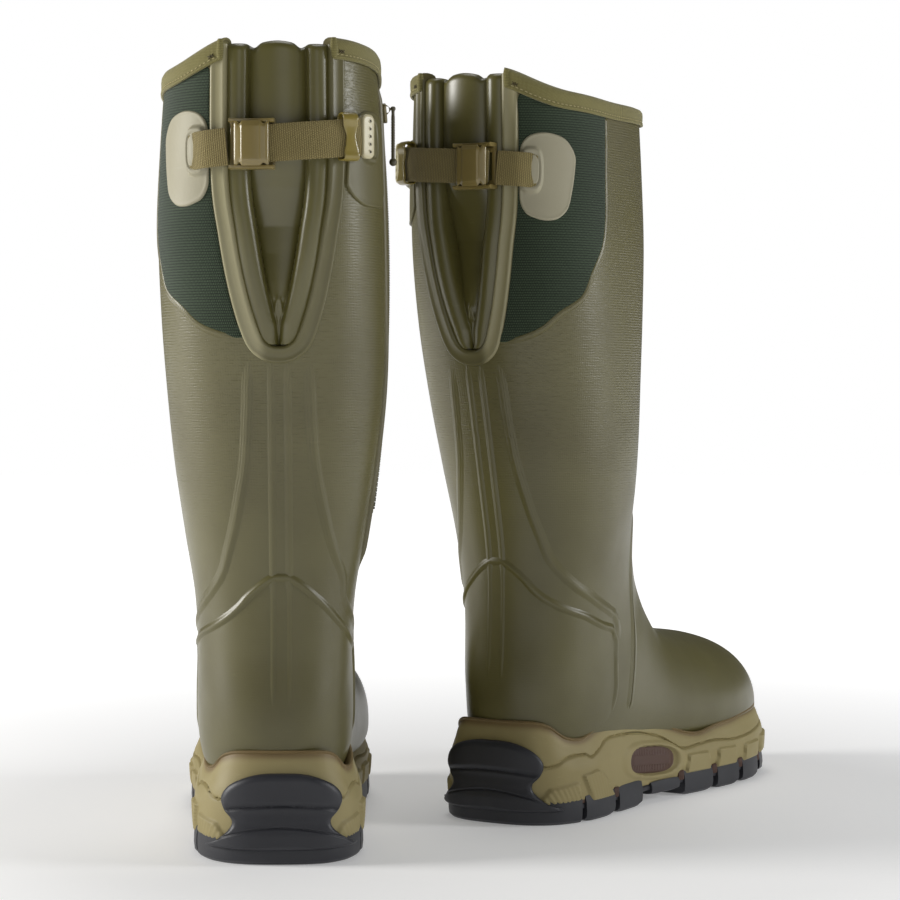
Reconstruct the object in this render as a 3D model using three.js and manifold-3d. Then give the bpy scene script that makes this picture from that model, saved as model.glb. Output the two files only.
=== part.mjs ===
// A pair of tall insulated rubber boots, in millimetres, +Z up, toes towards +Y.
// Each boot is drawn once as a right boot (+X is its outer side, Y runs from the back of
// the heel to the toe) and the left boot is its mirror image.
import * as THREE from "three";
import { mergeVertices } from "three/addons/utils/BufferGeometryUtils.js";
import Module from "manifold-3d";

const wasm = await Module();
wasm.setup();

// ---- driving dimensions ----
const bootHeight = 449; // floor to the top edge at the back
const soleLength = 320; // back of the heel to the tip of the sole
const calfWidth = 125; // across the leg under the top edge
const footWidth = 106; // across the upper at the ball of the foot
const rubberWall = 2.2; // rubber skin of foot and leg
const linerWall = 4.5; // insulated neoprene sleeve
const gap = 0.3; // between pieces that touch
const soleHeight = 62; // top edge of the midsole at the heel
const lugDepth = 8.4; // tread lugs below the outsole web
const webThickness = 3.2; // outsole web above the lugs
const coreThickness = 2.8; // brown layer between outsole and midsole
const shankThickness = 1.2;
const shankWidth = 15;
const boardThickness = 2;
const footbedThickness = 5.5;
const guardThickness = 5; // black heel wrap
const bindingTall = 10; // tape over the top edge
const bindingWall = 1.2;
const bandWidth = 9; // rubber band round the notch in the back
const bandProud = 1;
const notchHalfWidth = 27; // notch in the back, at the top edge
const notchBottom = 285; // height of the notch's lowest point
const gussetWall = 2.6;
const gussetFold = 8; // depth of the folds between the rolls
const patchTall = 52;
const patchWide = 42;
const patchWall = 1.2;
const pocketProud = 3.4;
const strapWidth = 20;
const strapThickness = 1.4;
const strapHeight = 393.3; // centre of the webbing above the floor, at the back
const strapSlope = 0.09; // fall of the webbing towards the outer side
const strapClear = 6.6; // between the leg and the inner layer of webbing
const layerStep = 2.2; // between the two layers of webbing
const buckleLength = 24;
const buckleWall = 1.8;
const leverLength = 19;
const leverThickness = 2.6;
const keeperWidth = 9;
const tabLength = 8;
const tabHole = 0.8;
const zipArc = 1000; // the zip follows the calf on one long arc of this radius
const zipCrestHeight = 325; // height where that arc stands out furthest
const zipProud = 1.9; // how far it stands out from the leg there
const zipTopHeight = 433;
const zipBottomHeight = 190;
const zipWidth = 12;
const zipWall = 1.8;
const zipLean = 12 / 250; // the zip leans back by this much for each unit of height
const toothWidth = 4.4;
const toothProud = 1;
const sliderLength = 11;
const sliderWidth = 8.4;
const sliderWall = 2.2;
const sliderTopHeight = 424;
const pullerLength = 30;
const pullerRadius = 1.1;
const pullerBall = 2.2;
const topDip = 12; // fall of the top edge on the outer side
const heelStepX = 118; // from the left heel to the right heel
const heelStepY = 133;
const leftTurn = 1.6; // toe-out of each boot, in degrees
const rightTurn = 31;

// ---- the boot's sections ----
// Each row is one section across the boot, from the toe round the heel and up the leg:
// front or top point y, z; back or bottom point y, z; reach to the outer and inner side;
// where the widest point lies between bottom and top; squareness at the front and back.
const tableHeight = 449;
const tableLength = 320;
const tableCalf = 125;
const tableFoot = 106;
const ankleHeight = 160;
const sections = [
  [307, 50, 307, 34, 10, 4, 0.5, 2.2, 2.2],
  [300, 64, 302, 27, 29, 20, 0.4, 2.3, 2.5],
  [285, 79, 287, 24, 44, 34, 0.38, 2.3, 2.7],
  [262, 91, 264, 24, 54, 42, 0.36, 2.3, 2.7],
  [235, 98, 235, 24, 59.5, 46.5, 0.35, 2.3, 2.6],
  [205, 102, 203, 24, 59.5, 46.5, 0.36, 2.2, 2.5],
  [178, 107, 168, 24, 55.5, 41, 0.38, 2.2, 2.5],
  [155, 118, 132, 24, 51.5, 38, 0.4, 2.2, 2.5],
  [143, 132, 92, 24, 50.5, 38, 0.42, 2.3, 2.5],
  [135, 146, 50, 25, 50.5, 39, 0.44, 2.4, 2.5],
  [131, 162, 15, 32, 50, 39, 0.46, 2.4, 2.5],
  [128, 180, 3.5, 70, 49.5, 38.5, 0.48, 2.4, 2.4],
  [123, 198, 5.5, 115, 51.5, 41, 0.5, 2.35, 2.35],
  [118, 216, 5, 160, 57, 47, 0.5, 2.3, 2.35],
  [115, 240, -5, 208, 62, 52.5, 0.5, 2.3, 2.4],
  [113.5, 272, -16, 255, 65.5, 56.5, 0.5, 2.3, 2.5],
  [114.5, 310, -27, 302, 68, 57.5, 0.5, 2.3, 2.7],
  [116, 355, -34, 352, 69, 57, 0.5, 2.3, 2.9],
  [117, 400, -36.5, 404, 67, 55, 0.5, 2.3, 2.9],
  [117.5, 438, -37, 449, 64.5, 53, 0.5, 2.3, 2.9],
];
const lastSection = sections.length - 1;
const toeRows = 3; // rows over which an inset also moves the toe back
const soleRow = 8; // first rows that belong to the foot
const legRow = 14; // rows from here up belong to the leg
const around = 16; // points round each section
const rowSteps = [0, 1, 2.2, 4, 6, 7.6, 9, 10.2, 11.2, 12.4, 13.6, 15, 16.6, 19];

const legScale = (bootHeight - ankleHeight) / (tableHeight - ankleHeight);
const calfScale = calfWidth / tableCalf;
const up = (z) => (z <= ankleHeight ? z : ankleHeight + (z - ankleHeight) * legScale);
const along = (y) => (y > 0 ? (y * soleLength) / tableLength : y);
const mix = (a, b, t) => a + (b - a) * t;
const clamp = (v, low, high) => Math.min(high, Math.max(low, v));
// Smooth change from 0 at a to 1 at b.
function ease(a, b, v) {
  const u = clamp((v - a) / (b - a), 0, 1);
  return u * u * (3 - 2 * u);
}

// Catmull-Rom curve through rows of numbers, at the fractional row t; straight past its ends.
function throughRows(rows, t) {
  const last = rows.length - 1;
  const i = clamp(Math.floor(t), 0, last - 1);
  const u = t - i;
  const before = (a, b, k) => 2 * a[k] - b[k];
  return rows[0].map((_, k) => {
    const b = rows[i][k];
    const c = rows[i + 1][k];
    const a = i > 0 ? rows[i - 1][k] : before(rows[0], rows[1], k);
    const d = i + 2 <= last ? rows[i + 2][k] : before(rows[last], rows[last - 1], k);
    if (t > last) return c + (c - b) * (t - last);
    const bend = 2 * a - 5 * b + 4 * c - d;
    const twist = 3 * b - a - 3 * c + d;
    return 0.5 * (2 * b + (c - a) * u + bend * u * u + twist * u ** 3);
  });
}

// The height of a curve given as points [position, height], smooth between them.
function heightAt(points, y) {
  const last = points.length - 1;
  let i = 0;
  while (i < last - 1 && y > points[i + 1][0]) i++;
  const span = points[i + 1][0] - points[i][0];
  return throughRows(points, clamp(i + (y - points[i][0]) / span, 0, last))[1];
}

// How far the top edge falls at a point of the leg: most at the outer side's back.
const dipRows = [16, 19];
const dipReach = [22, 60]; // sideways, from the middle to the outer side
const dipLength = [20, 110]; // from the back to the front of the leg
const dipFade = 0.45; // share of the fall lost at the front
function dipAt(t, x, y) {
  const sideways = ease(dipReach[0] * calfScale, dipReach[1] * calfScale, x);
  const lengthwise = 1 - dipFade * ease(along(dipLength[0]), along(dipLength[1]), y);
  return topDip * sideways * lengthwise * ease(...dipRows, t);
}

// A point on the boot's skin: t is the section, turn goes from the front (0) to the outer
// side (a quarter) and the back (a half); inset moves it into the boot.
function skinPoint(t, turn, inset) {
  const [fy, fz, by, bz, outer, inner, widest, frontSquare, backSquare] = throughRows(sections, t);
  const front = [along(fy), up(fz)];
  const back = [along(by), up(bz)];
  const length = Math.hypot(front[0] - back[0], front[1] - back[1]);
  const toward = [(front[0] - back[0]) / length, (front[1] - back[1]) / length];
  const legShare = clamp((t - soleRow) / (legRow - soleRow), 0, 1);
  const wide = mix(footWidth / tableFoot, calfScale, legShare);
  const tipBack = inset * clamp(1 - t / toeRows, 0, 1);
  const angle = turn * 2 * Math.PI;
  const c = Math.cos(angle);
  const s = Math.sin(angle);
  const power = 2 / (c > 0 ? frontSquare : backSquare);
  const lengthwise = Math.sign(c) * Math.abs(c) ** power;
  const sideways = Math.sign(s) * Math.abs(s) ** power;
  const reach = c > 0 ? (1 - widest) * length - inset : widest * length - inset;
  const side = Math.max((s > 0 ? outer : inner) * wide - inset, 0.5);
  const d = widest * length + Math.max(reach, 0.5) * lengthwise;
  const x = side * sideways;
  const y = back[0] + toward[0] * d;
  return new THREE.Vector3(x, y - tipBack, back[1] + toward[1] * d - dipAt(t, x, y));
}

// ---- solids ----
function solidFrom(geometry) {
  const g = geometry.clone();
  g.deleteAttribute("normal");
  g.deleteAttribute("uv");
  const merged = mergeVertices(g, 1e-4);
  const vertProperties = merged.attributes.position.array;
  const triVerts = new Uint32Array(merged.index.array);
  let solid = new wasm.Manifold(new wasm.Mesh({ numProp: 3, vertProperties, triVerts }));
  if (solid.volume() < 0) {
    for (let i = 1; i < triVerts.length; i += 3) {
      const kept = triVerts[i];
      triVerts[i] = triVerts[i + 1];
      triVerts[i + 1] = kept;
    }
    solid = new wasm.Manifold(new wasm.Mesh({ numProp: 3, vertProperties, triVerts }));
  }
  return solid;
}

function geometryFrom(solid) {
  const mesh = solid.getMesh();
  const n = mesh.numProp;
  const positions = new Float32Array(mesh.numVert * 3);
  for (let i = 0; i < mesh.numVert; i++) positions.set(mesh.vertProperties.subarray(i * n, i * n + 3), i * 3);
  const g = new THREE.BufferGeometry();
  g.setAttribute("position", new THREE.BufferAttribute(positions, 3));
  g.setIndex(new THREE.BufferAttribute(mesh.triVerts, 1));
  const flat = g.toNonIndexed();
  flat.computeVertexNormals();
  return flat;
}

// Closed loops of points, each as long as the next, joined into a skin and closed by a fan
// at both ends. A list whose last loop is its first makes a closed tube instead.
function loftLoops(loops, ring = false) {
  const positions = [];
  const index = [];
  const n = loops[0].length;
  loops.forEach((loop) => loop.forEach((p) => positions.push(p.x, p.y, p.z)));
  const count = loops.length;
  const steps = ring ? count : count - 1;
  for (let i = 0; i < steps; i++) {
    const a = i * n;
    const b = ((i + 1) % count) * n;
    for (let j = 0; j < n; j++) {
      const k = (j + 1) % n;
      index.push(a + j, b + j, b + k, a + j, b + k, a + k);
    }
  }
  if (!ring) {
    [0, count - 1].forEach((i) => {
      const centre = new THREE.Vector3();
      loops[i].forEach((p) => centre.add(p));
      centre.divideScalar(n);
      const c = positions.length / 3;
      positions.push(centre.x, centre.y, centre.z);
      for (let j = 0; j < n; j++) {
        const k = (j + 1) % n;
        if (i === 0) index.push(c, i * n + j, i * n + k);
        else index.push(c, i * n + k, i * n + j);
      }
    });
  }
  const g = new THREE.BufferGeometry();
  g.setAttribute("position", new THREE.Float32BufferAttribute(positions, 3));
  g.setIndex(index);
  return solidFrom(g);
}

const skinLoop = (t, inset) => Array.from({ length: around }, (_, j) => skinPoint(t, j / around, inset));

// The whole boot as one filled body, inset all round, up to the section `top`.
const filledBoot = (inset, top = lastSection) =>
  loftLoops([...rowSteps.filter((t) => t < top), top].map((t) => skinLoop(t, inset)));

// A wall of the leg between two insets, from one section to another.
const cutPast = 0.15; // rows by which a cut runs past the ends of what it hollows
function wallRing(outside, inside, from, to, steps) {
  const rows = Array.from({ length: steps + 1 }, (_, i) => mix(from, to, i / steps));
  const outer = loftLoops(rows.map((t) => skinLoop(t, outside)));
  const cut = [from - cutPast, ...rows.slice(1, -1), to + cutPast];
  return outer.subtract(loftLoops(cut.map((t) => skinLoop(t, inside))));
}

function prism(points, depth) {
  const shape = new THREE.Shape(points.map(([a, b]) => new THREE.Vector2(a, b)));
  return new THREE.ExtrudeGeometry(shape, { depth, bevelEnabled: false, curveSegments: 8 });
}

// Prisms with their outline in the side view (y, z), the back view (x, z) or the plan (x, y).
function sidePrism(points, x0, x1) {
  const m = new THREE.Matrix4().set(0, 0, 1, x0, 1, 0, 0, 0, 0, 1, 0, 0, 0, 0, 0, 1);
  return solidFrom(prism(points, x1 - x0).applyMatrix4(m));
}
function backPrism(points, y0, y1) {
  const m = new THREE.Matrix4().set(1, 0, 0, 0, 0, 0, -1, y1, 0, 1, 0, 0, 0, 0, 0, 1);
  return solidFrom(prism(points, y1 - y0).applyMatrix4(m));
}
function planPrism(points, z0, z1) {
  return solidFrom(prism(points, z1 - z0).applyMatrix4(new THREE.Matrix4().makeTranslation(0, 0, z0)));
}
function block(x0, x1, y0, y1, z0, z1) {
  const g = new THREE.BoxGeometry(x1 - x0, y1 - y0, z1 - z0);
  return solidFrom(g.translate((x0 + x1) / 2, (y0 + y1) / 2, (z0 + z1) / 2));
}

// A rounded rectangle as points, with `corner` as the radius.
function roundedOutline(ca, cb, halfA, halfB, corner, steps = 3) {
  const points = [];
  const corners = [
    [1, 1, 0],
    [-1, 1, 1],
    [-1, -1, 2],
    [1, -1, 3],
  ];
  corners.forEach(([sa, sb, quarter]) => {
    for (let i = 0; i <= steps; i++) {
      const angle = ((quarter + i / steps) * Math.PI) / 2;
      points.push([
        ca + sa * (halfA - corner) + corner * Math.cos(angle),
        cb + sb * (halfB - corner) + corner * Math.sin(angle),
      ]);
    }
  });
  return points;
}

// A flat strap on edge: path is its middle line, up is the direction of its width.
function webbing(path, width, thickness, upAt) {
  const loops = path.map((p, i) => {
    const ahead = path[Math.min(i + 1, path.length - 1)];
    const behind = path[Math.max(i - 1, 0)];
    const run = ahead.clone().sub(behind).normalize();
    const upward = upAt ? upAt(i) : new THREE.Vector3(0, 0, 1);
    const out = run.clone().cross(upward).normalize().multiplyScalar(thickness / 2);
    const half = upward.clone().multiplyScalar(width / 2);
    return [
      p.clone().add(out).add(half),
      p.clone().add(out).sub(half),
      p.clone().sub(out).sub(half),
      p.clone().sub(out).add(half),
    ];
  });
  return loftLoops(loops);
}

const big = 400;
const parts = [];
function piece(name, solid, colour, roughness, metalness = 0) {
  parts.push({ name, geometry: geometryFrom(solid), colour, roughness, metalness });
}

const olive = 0x7a7250;
const oliveDark = 0x6e6747;
const khaki = 0x96895f;
const black = 0x26272d;
const brown = 0x4a342a;
const green = 0x283a2e;
const beige = 0xb5b1a0;
const webTan = 0x968658;
const buckleTan = 0xa5915f;

// ---- upper: foot, leg, liner ----
const rubberIn = rubberWall;
const linerOut = rubberWall + gap;
const linerIn = linerOut + linerWall;
const outerBoot = filledBoot(0);
const openTop = lastSection + cutPast;
const hollowTo = (inset) => filledBoot(inset, openTop);

// The notch in the back view: half width at each height, widest at the top.
const notchShape = [
  [notchBottom, 0],
  [notchBottom + 1.5, 6],
  [notchBottom + 8, 11],
  [notchBottom + 30, 17.5],
  [notchBottom + 60, 23],
  [notchBottom + 95, notchHalfWidth],
  [bootHeight + 8, notchHalfWidth],
].map(([z, x]) => [up(z), x]);
function notchOutline(grow) {
  const side = notchShape.map(([z, x], i) => {
    const next = notchShape[Math.min(i + 1, notchShape.length - 1)];
    const last = notchShape[Math.max(i - 1, 0)];
    const run = Math.hypot(next[0] - last[0], next[1] - last[1]);
    const outX = ((next[0] - last[0]) / run) * grow;
    const outZ = (-(next[1] - last[1]) / run) * grow;
    return i === 0 ? [0, z - grow] : [x + outX, z + outZ];
  });
  const top = side[side.length - 1][1] + 10;
  side.push([side[side.length - 1][0], top]);
  return [...side, ...side.slice(1).reverse().map(([x, z]) => [-x, z])];
}
const backReach = 30; // the notch and its band lie behind this plane
const notchCut = (grow) => backPrism(notchOutline(grow), -big, backReach);

// The stretch panel on the outer side, in the side view.
const panelEdge = [
  [-28, 289.5],
  [-18, 291.5],
  [-12, 297],
  [-5, 306],
  [0, 316],
  [6, 330],
  [14, 345],
  [18, 362],
  [20, 387],
  [22, 410],
  [24.5, 440],
];
const panelBack = -60; // the outline's straight back and top lie clear of the leg
const panelOver = 20;
const panelOutline = (shrink) => {
  const edge = panelEdge.map(([y, z]) => [y - shrink, up(z) + shrink]);
  const front = edge[edge.length - 1][0];
  const top = bootHeight + panelOver;
  return [[panelBack, top], [panelBack, edge[0][1]], ...edge, [front, top]];
};
const panelCut = (shrink) => sidePrism(panelOutline(shrink), 0, big);

// The front of the foot is one moulding, the heel and leg the other; they meet on this line.
const vampTop = 200;
const vampOver = 60; // the outline's front lies this far past the toe
const vampOutline = (back) =>
  [
    [79, -10],
    [84, 61],
    [90, 91],
    [94, 118],
    [95.5, 156],
    [98, 172],
    [106, 186],
    [118, 196],
    [140, vampTop],
    [tableLength + vampOver, vampTop],
    [tableLength + vampOver, -10],
  ].map(([y, z]) => [along(y) - back, z]);
const vampCut = (back) => sidePrism(vampOutline(back), -big, big);

// The zip: its middle line in the side view, and a band round its arc.
const zipTop = up(zipTopHeight);
const zipBottom = up(zipBottomHeight);
const zipCrest = up(zipCrestHeight);
const zipCrestRow = 16.33; // section at that height
const zipOut = zipProud - skinPoint(zipCrestRow, 0.75, 0).x;
const zipRadius = (zipArc * legScale ** 2) / calfScale;
const zipStart = 50; // distance from the back of the heel, at the top
const zipY = (z) => zipStart + (up(440) - z) * zipLean;
const zipStep = new THREE.Vector3(0, -zipLean, 1).normalize();
const zipCentre = new THREE.Vector3(zipRadius - zipOut, zipY(zipCrest), zipCrest);
function zipPoint(z, out) {
  const rise = (z - zipCrest) / zipStep.z;
  const angle = Math.asin(rise / zipRadius);
  return zipCentre
    .clone()
    .add(new THREE.Vector3(-Math.cos(angle) * (zipRadius + out), 0, 0))
    .addScaledVector(zipStep, Math.sin(angle) * (zipRadius + out));
}
const zipAcross = new THREE.Vector3(1, 0, 0).cross(zipStep).normalize();
function zipBand(z0, z1, low, high, width, shift = 0, steps = 10) {
  const loops = Array.from({ length: steps + 1 }, (_, i) => {
    const z = mix(z0, z1, i / steps);
    const corner = (out, side) => zipPoint(z, out).addScaledVector(zipAcross, side + shift);
    const half = width / 2;
    return [corner(low, -half), corner(high, -half), corner(high, half), corner(low, half)];
  });
  return loftLoops(loops);
}
const zipSlot = zipBand(zipBottom, zipTop, -6, 8, zipWidth + 2 * gap, 0, 4);

const rubber = outerBoot.subtract(hollowTo(rubberIn));
const openings = notchCut(bandWidth + gap).add(panelCut(0)).add(zipSlot);
piece("foot_shell", rubber.intersect(vampCut(0)), olive, 0.55);
piece("shaft_shell", rubber.subtract(vampCut(gap)).subtract(openings), olive, 0.55);

const liner = filledBoot(linerOut).subtract(hollowTo(linerIn)).subtract(notchCut(1.5));
piece("liner", liner, 0x3a3b36, 0.95);

const panel = rubber.intersect(panelCut(gap)).subtract(notchCut(bandWidth + gap));
piece("side_panel", panel, green, 0.9);

const backRegion = block(-70, 70, -big, backReach, notchBottom - 30, bootHeight + 30);
const bandWall = filledBoot(-bandProud).subtract(hollowTo(rubberIn));
const band = bandWall.intersect(backRegion).intersect(notchCut(bandWidth)).subtract(notchCut(0));
piece("gusset_binding", band, olive, 0.6);

// Heel counter: a raised panel round the heel, in the side view.
const counterOutline = [
  [-30, 158.5],
  [3.5, 158.5],
  [5.5, 148],
  [12, 135],
  [32, 125],
  [57, 116.5],
  [66, 110],
  [67.5, 102],
  [67, 80],
  [63, 62],
  [62, 40],
  [-30, 40],
];
const counterProud = 1;
const counterRow = 14; // the section it stops under
const counterOuter = filledBoot(-gap - counterProud, counterRow);
const counterWall = counterOuter.subtract(filledBoot(-gap, counterRow + cutPast));
const counterBase = block(-big, big, -big, big, soleHeight + gap, 170);
const counter = counterWall.intersect(sidePrism(counterOutline, -big, big)).intersect(counterBase);
piece("heel_counter", counter, oliveDark, 0.5);

// ---- top edge ----
const topStep = bootHeight - up(sections[lastSection - 1][3]);
const inRows = (height) => height / topStep; // share of a section step near the top
const rimRoom = 1.3; // over the edges of rubber and liner
const rimTop = lastSection + inRows(rimRoom + bindingWall);
const rimLow = lastSection - inRows(bindingTall - bindingWall);
const rimOutside = -gap - bandProud;
const rimInside = linerIn + 2 * gap;
const rimBlock = wallRing(rimOutside - bindingWall, rimInside + bindingWall, rimLow, rimTop, 1);
const grooveLow = rimLow - cutPast;
const rimGroove = wallRing(rimOutside, rimInside, grooveLow, lastSection + inRows(rimRoom), 1);
const rim = rimBlock.subtract(rimGroove).subtract(notchCut(2));
piece("rim_binding", rim, 0x827a4b, 0.9);

// ---- gusset: three soft rolls across the notch ----
const gussetTop = bootHeight - 5;
const gussetLow = up(notchBottom) + 2;
function notchHalfAt(z) {
  return heightAt(notchShape, z);
}
// Halving search for the value between low and high where a rising test turns true.
function search(low, high, reached) {
  for (let i = 0; i < 24; i++) {
    const half = (low + high) / 2;
    if (reached(half)) high = half;
    else low = half;
  }
  return (low + high) / 2;
}
const rowAtBack = (z) => search(soleRow, openTop, (t) => skinPoint(t, 0.5, 0).z > z);
function backSkinY(x, z) {
  const t = rowAtBack(z);
  const turn = search(0.3, 0.7, (v) => skinPoint(t, v, 0).x < x);
  return skinPoint(t, turn, 0).y;
}
function gussetLoop(z) {
  const half = Math.max(notchHalfAt(z) - gap, 2);
  const share = clamp((z - gussetLow) / (up(380) - gussetLow), 0, 1);
  const steps = 12;
  const outside = [];
  for (let i = 0; i <= steps; i++) {
    const u = (i / steps) * 2 - 1;
    const roll = Math.abs(Math.cos(u * 1.5 * Math.PI)) ** 0.7;
    const sink = mix(3, gussetFold, share);
    const y = backSkinY(u * half, z) + sink * (1 - roll) + (1 - Math.abs(u)) * mix(5, 1, share);
    outside.push(new THREE.Vector3(u * half, y, z));
  }
  const inside = outside.map((p) => p.clone().add(new THREE.Vector3(0, gussetWall, 0))).reverse();
  return [...outside, ...inside];
}
const gussetRows = 8;
const gussetLoops = Array.from({ length: gussetRows + 1 }, (_, i) =>
  gussetLoop(mix(gussetLow, gussetTop, i / gussetRows)),
);

// A wall between an outer and an inner line, closed along both edges and both ends.
function sheetFrom(loops) {
  const positions = [];
  const index = [];
  const n = loops[0].length;
  loops.forEach((loop) => loop.forEach((p) => positions.push(p.x, p.y, p.z)));
  for (let i = 0; i + 1 < loops.length; i++)
    for (let j = 0; j < n; j++) {
      const k = (j + 1) % n;
      const a = i * n;
      const b = a + n;
      index.push(a + j, b + j, b + k, a + j, b + k, a + k);
    }
  [0, loops.length - 1].forEach((i) => {
    const base = i * n;
    for (let j = 0; j < n / 2 - 1; j++) {
      const quad = [base + j, base + j + 1, base + n - 2 - j, base + n - 1 - j];
      const [a, b, c, d] = i === 0 ? quad : quad.reverse();
      index.push(a, b, c, a, c, d);
    }
  });
  const g = new THREE.BufferGeometry();
  g.setAttribute("position", new THREE.Float32BufferAttribute(positions, 3));
  g.setIndex(index);
  return solidFrom(g);
}
piece("gusset", sheetFrom(gussetLoops), olive, 0.5);

// ---- sole ----
// Half widths of the sole in plan, to the outer and inner side.
const soleWidths = [
  [-3, 2, 2],
  [-1, 20, 20],
  [6, 34, 32],
  [18, 44, 40],
  [40, 51, 45],
  [75, 51, 42],
  [110, 51, 38],
  [145, 55, 38],
  [180, 61, 42],
  [215, 65, 46],
  [245, 64, 47],
  [272, 57, 43],
  [295, 42, 33],
  [310, 23, 18],
  [317, 6, 5],
];
const soleBack = soleWidths[0][0];
const soleFront = soleWidths[soleWidths.length - 1][0];
function soleHalf(y, k) {
  const rows = soleWidths.map((row) => [row[0], row[k]]);
  let i = 0;
  while (i < rows.length - 2 && y > rows[i + 1][0]) i++;
  const slope = (rows[i + 1][1] - rows[i][1]) / (rows[i + 1][0] - rows[i][0]);
  const half = rows[i][1] + slope * (y - rows[i][0]);
  return [half, Math.min(Math.hypot(1, slope), 4)];
}
// The sole's outline in plan, moved inwards square to its edge.
function soleOutline(inset) {
  const wide = footWidth / tableFoot;
  const side = (k) =>
    soleWidths.map(([y]) => {
      const at = mix(soleBack + inset, soleFront - inset, (y - soleBack) / (soleFront - soleBack));
      const [half, slant] = soleHalf(clamp(at, soleBack, soleFront), k);
      return [Math.max(half * wide - inset * slant, 1.5), at > 0 ? along(at) : at];
    });
  const outer = side(1);
  const inner = side(2).map(([x, y]) => [-x, y]);
  return [...outer, ...inner.reverse()];
}
const waveTop = [
  [-12, soleHeight + 0.5],
  [0, soleHeight + 0.5],
  [8, soleHeight - 2],
  [20, soleHeight - 9.5],
  [33, soleHeight - 11],
  [48, soleHeight - 7],
  [68, soleHeight - 3.5],
  [88, soleHeight - 2],
  [110, soleHeight - 5.3],
  [135, soleHeight - 13.6],
  [160, soleHeight - 21],
  [176, soleHeight - 23],
  [196, soleHeight - 20],
  [215, soleHeight - 18.5],
  [232, soleHeight - 16.5],
  [260, soleHeight - 15],
  [285, soleHeight - 13],
  [325, soleHeight - 10],
].map(([y, z]) => [along(y), z]);
const webLow = lugDepth;
const webTop = webLow + webThickness;
const midLow = webTop + gap;
const waveOutline = () => {
  const points = [];
  const steps = 22;
  for (let i = 0; i <= steps; i++) {
    const y = mix(-12, along(325), i / steps);
    points.push([y, heightAt(waveTop, y)]);
  }
  return [...points, [along(325), midLow], [-12, midLow]];
};

// Heel wrap in the back view: a wide cap, a waist, and a flare down to the tread.
const guardSide = [
  [0, 50],
  [20, 48],
  [31, 42],
  [34, 36],
  [32, 30],
  [26, 24],
  [27, 19],
  [33, 15.5],
  [35.5, midLow - 3],
];
const guardOutline = (grow) => {
  const side = guardSide.map(([x, z], i) => [x + (i > 0 ? grow : 0), z + (i < 3 ? grow : 0)]);
  side[side.length - 1][1] -= grow;
  return [...side, ...side.slice(1).reverse().map(([x, z]) => [-x, z])];
};
const guardReach = 26;
const guardSolid = planPrism(soleOutline(-0.8), midLow, 60)
  .subtract(planPrism(soleOutline(guardThickness), 0, 70))
  .intersect(backPrism(guardOutline(0), -big, guardReach));
const guardCut = planPrism(soleOutline(-10), 0, 70)
  .subtract(planPrism(soleOutline(guardThickness + gap), 0, 80))
  .intersect(backPrism(guardOutline(gap), -big, guardReach + gap));
piece("heel_guard", guardSolid, black, 0.7);

// Tread lugs: [start, end] along the sole on both edges; the waist stays clear of the floor.
const edgeLugs = [
  [-2, 28],
  [33, 62],
  [70, 102],
  [154, 184],
  [192, 218],
  [226, 250],
  [258, 282],
];
const waistLug = [114, 146];
const lugReach = 22; // how far an edge lug runs in under the sole
const toeSpringFrom = 245;
const toeSpring = 7; // rise of the tread at the toe tip
const sprung = (y) => toeSpring * clamp((y - toeSpringFrom) / (320 - toeSpringFrom), 0, 1) ** 1.3;
const tread = soleOutline(1.6);
const treadPrism = (z0, z1) => planPrism(tread, z0, z1);
let outsole = treadPrism(webLow, webTop);
const lugZone = treadPrism(0, webLow + 1);
const innerZone = planPrism(soleOutline(lugReach), -1, webLow + 2);
const edgeZone = lugZone.subtract(innerZone);
edgeLugs.forEach(([y0, y1]) => {
  const low = sprung(y1);
  outsole = outsole.add(edgeZone.intersect(block(-big, big, along(y0), along(y1), low, webLow + 1)));
});
const waistDrop = 3.4; // how far the waist block hangs below the web
const waistEnds = [along(waistLug[0]), along(waistLug[1])];
const waistBlock = block(-big, big, ...waistEnds, webLow - waistDrop, webLow + 1);
outsole = outsole.add(edgeZone.intersect(waistBlock));
const centreLugs = [
  [14, 34],
  [46, 64],
  [170, 186],
  [204, 220],
  [238, 252],
];
const centreHalf = 12;
centreLugs.forEach(([y0, y1]) => {
  outsole = outsole.add(block(-centreHalf, centreHalf, along(y0), along(y1), sprung(y1), webLow + 1));
});
piece("outsole", outsole, black, 0.75);

// Brown core: a thin layer that shows as small blocks between the lugs and at the arch.
const coreBlocks = [
  [29, 36],
  [63, 70],
  [147, 155],
  [184, 192],
  [218, 226],
];
const coreLow = midLow;
const coreTop = coreLow + coreThickness;
const coreInset = 8;
const coreEdge = planPrism(soleOutline(0.6), coreLow, coreTop);
const coreSolid = (grow) => {
  let core = planPrism(soleOutline(coreInset - grow), coreLow - grow, coreTop + grow);
  coreBlocks.forEach(([y0, y1]) => {
    const cut = block(-big, big, along(y0) - grow, along(y1) + grow, coreLow - grow, coreTop + grow);
    const edge = grow > 0 ? planPrism(soleOutline(-10), coreLow - grow, coreTop + grow) : coreEdge;
    core = core.add(edge.intersect(cut));
  });
  return core;
};
piece("sole_core", coreSolid(0).subtract(guardCut), brown, 0.8);

const shankBack = 60;
const shankFront = 170;
const shankLow = coreTop + gap;
const shankBox = (grow) =>
  block(
    -shankWidth / 2 - grow,
    shankWidth / 2 + grow,
    along(shankBack) - grow,
    along(shankFront) + grow,
    shankLow - 2 * grow,
    shankLow + shankThickness + grow,
  );
piece("shank", shankBox(0), 0x8a8d92, 0.35, 0.9);

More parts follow.
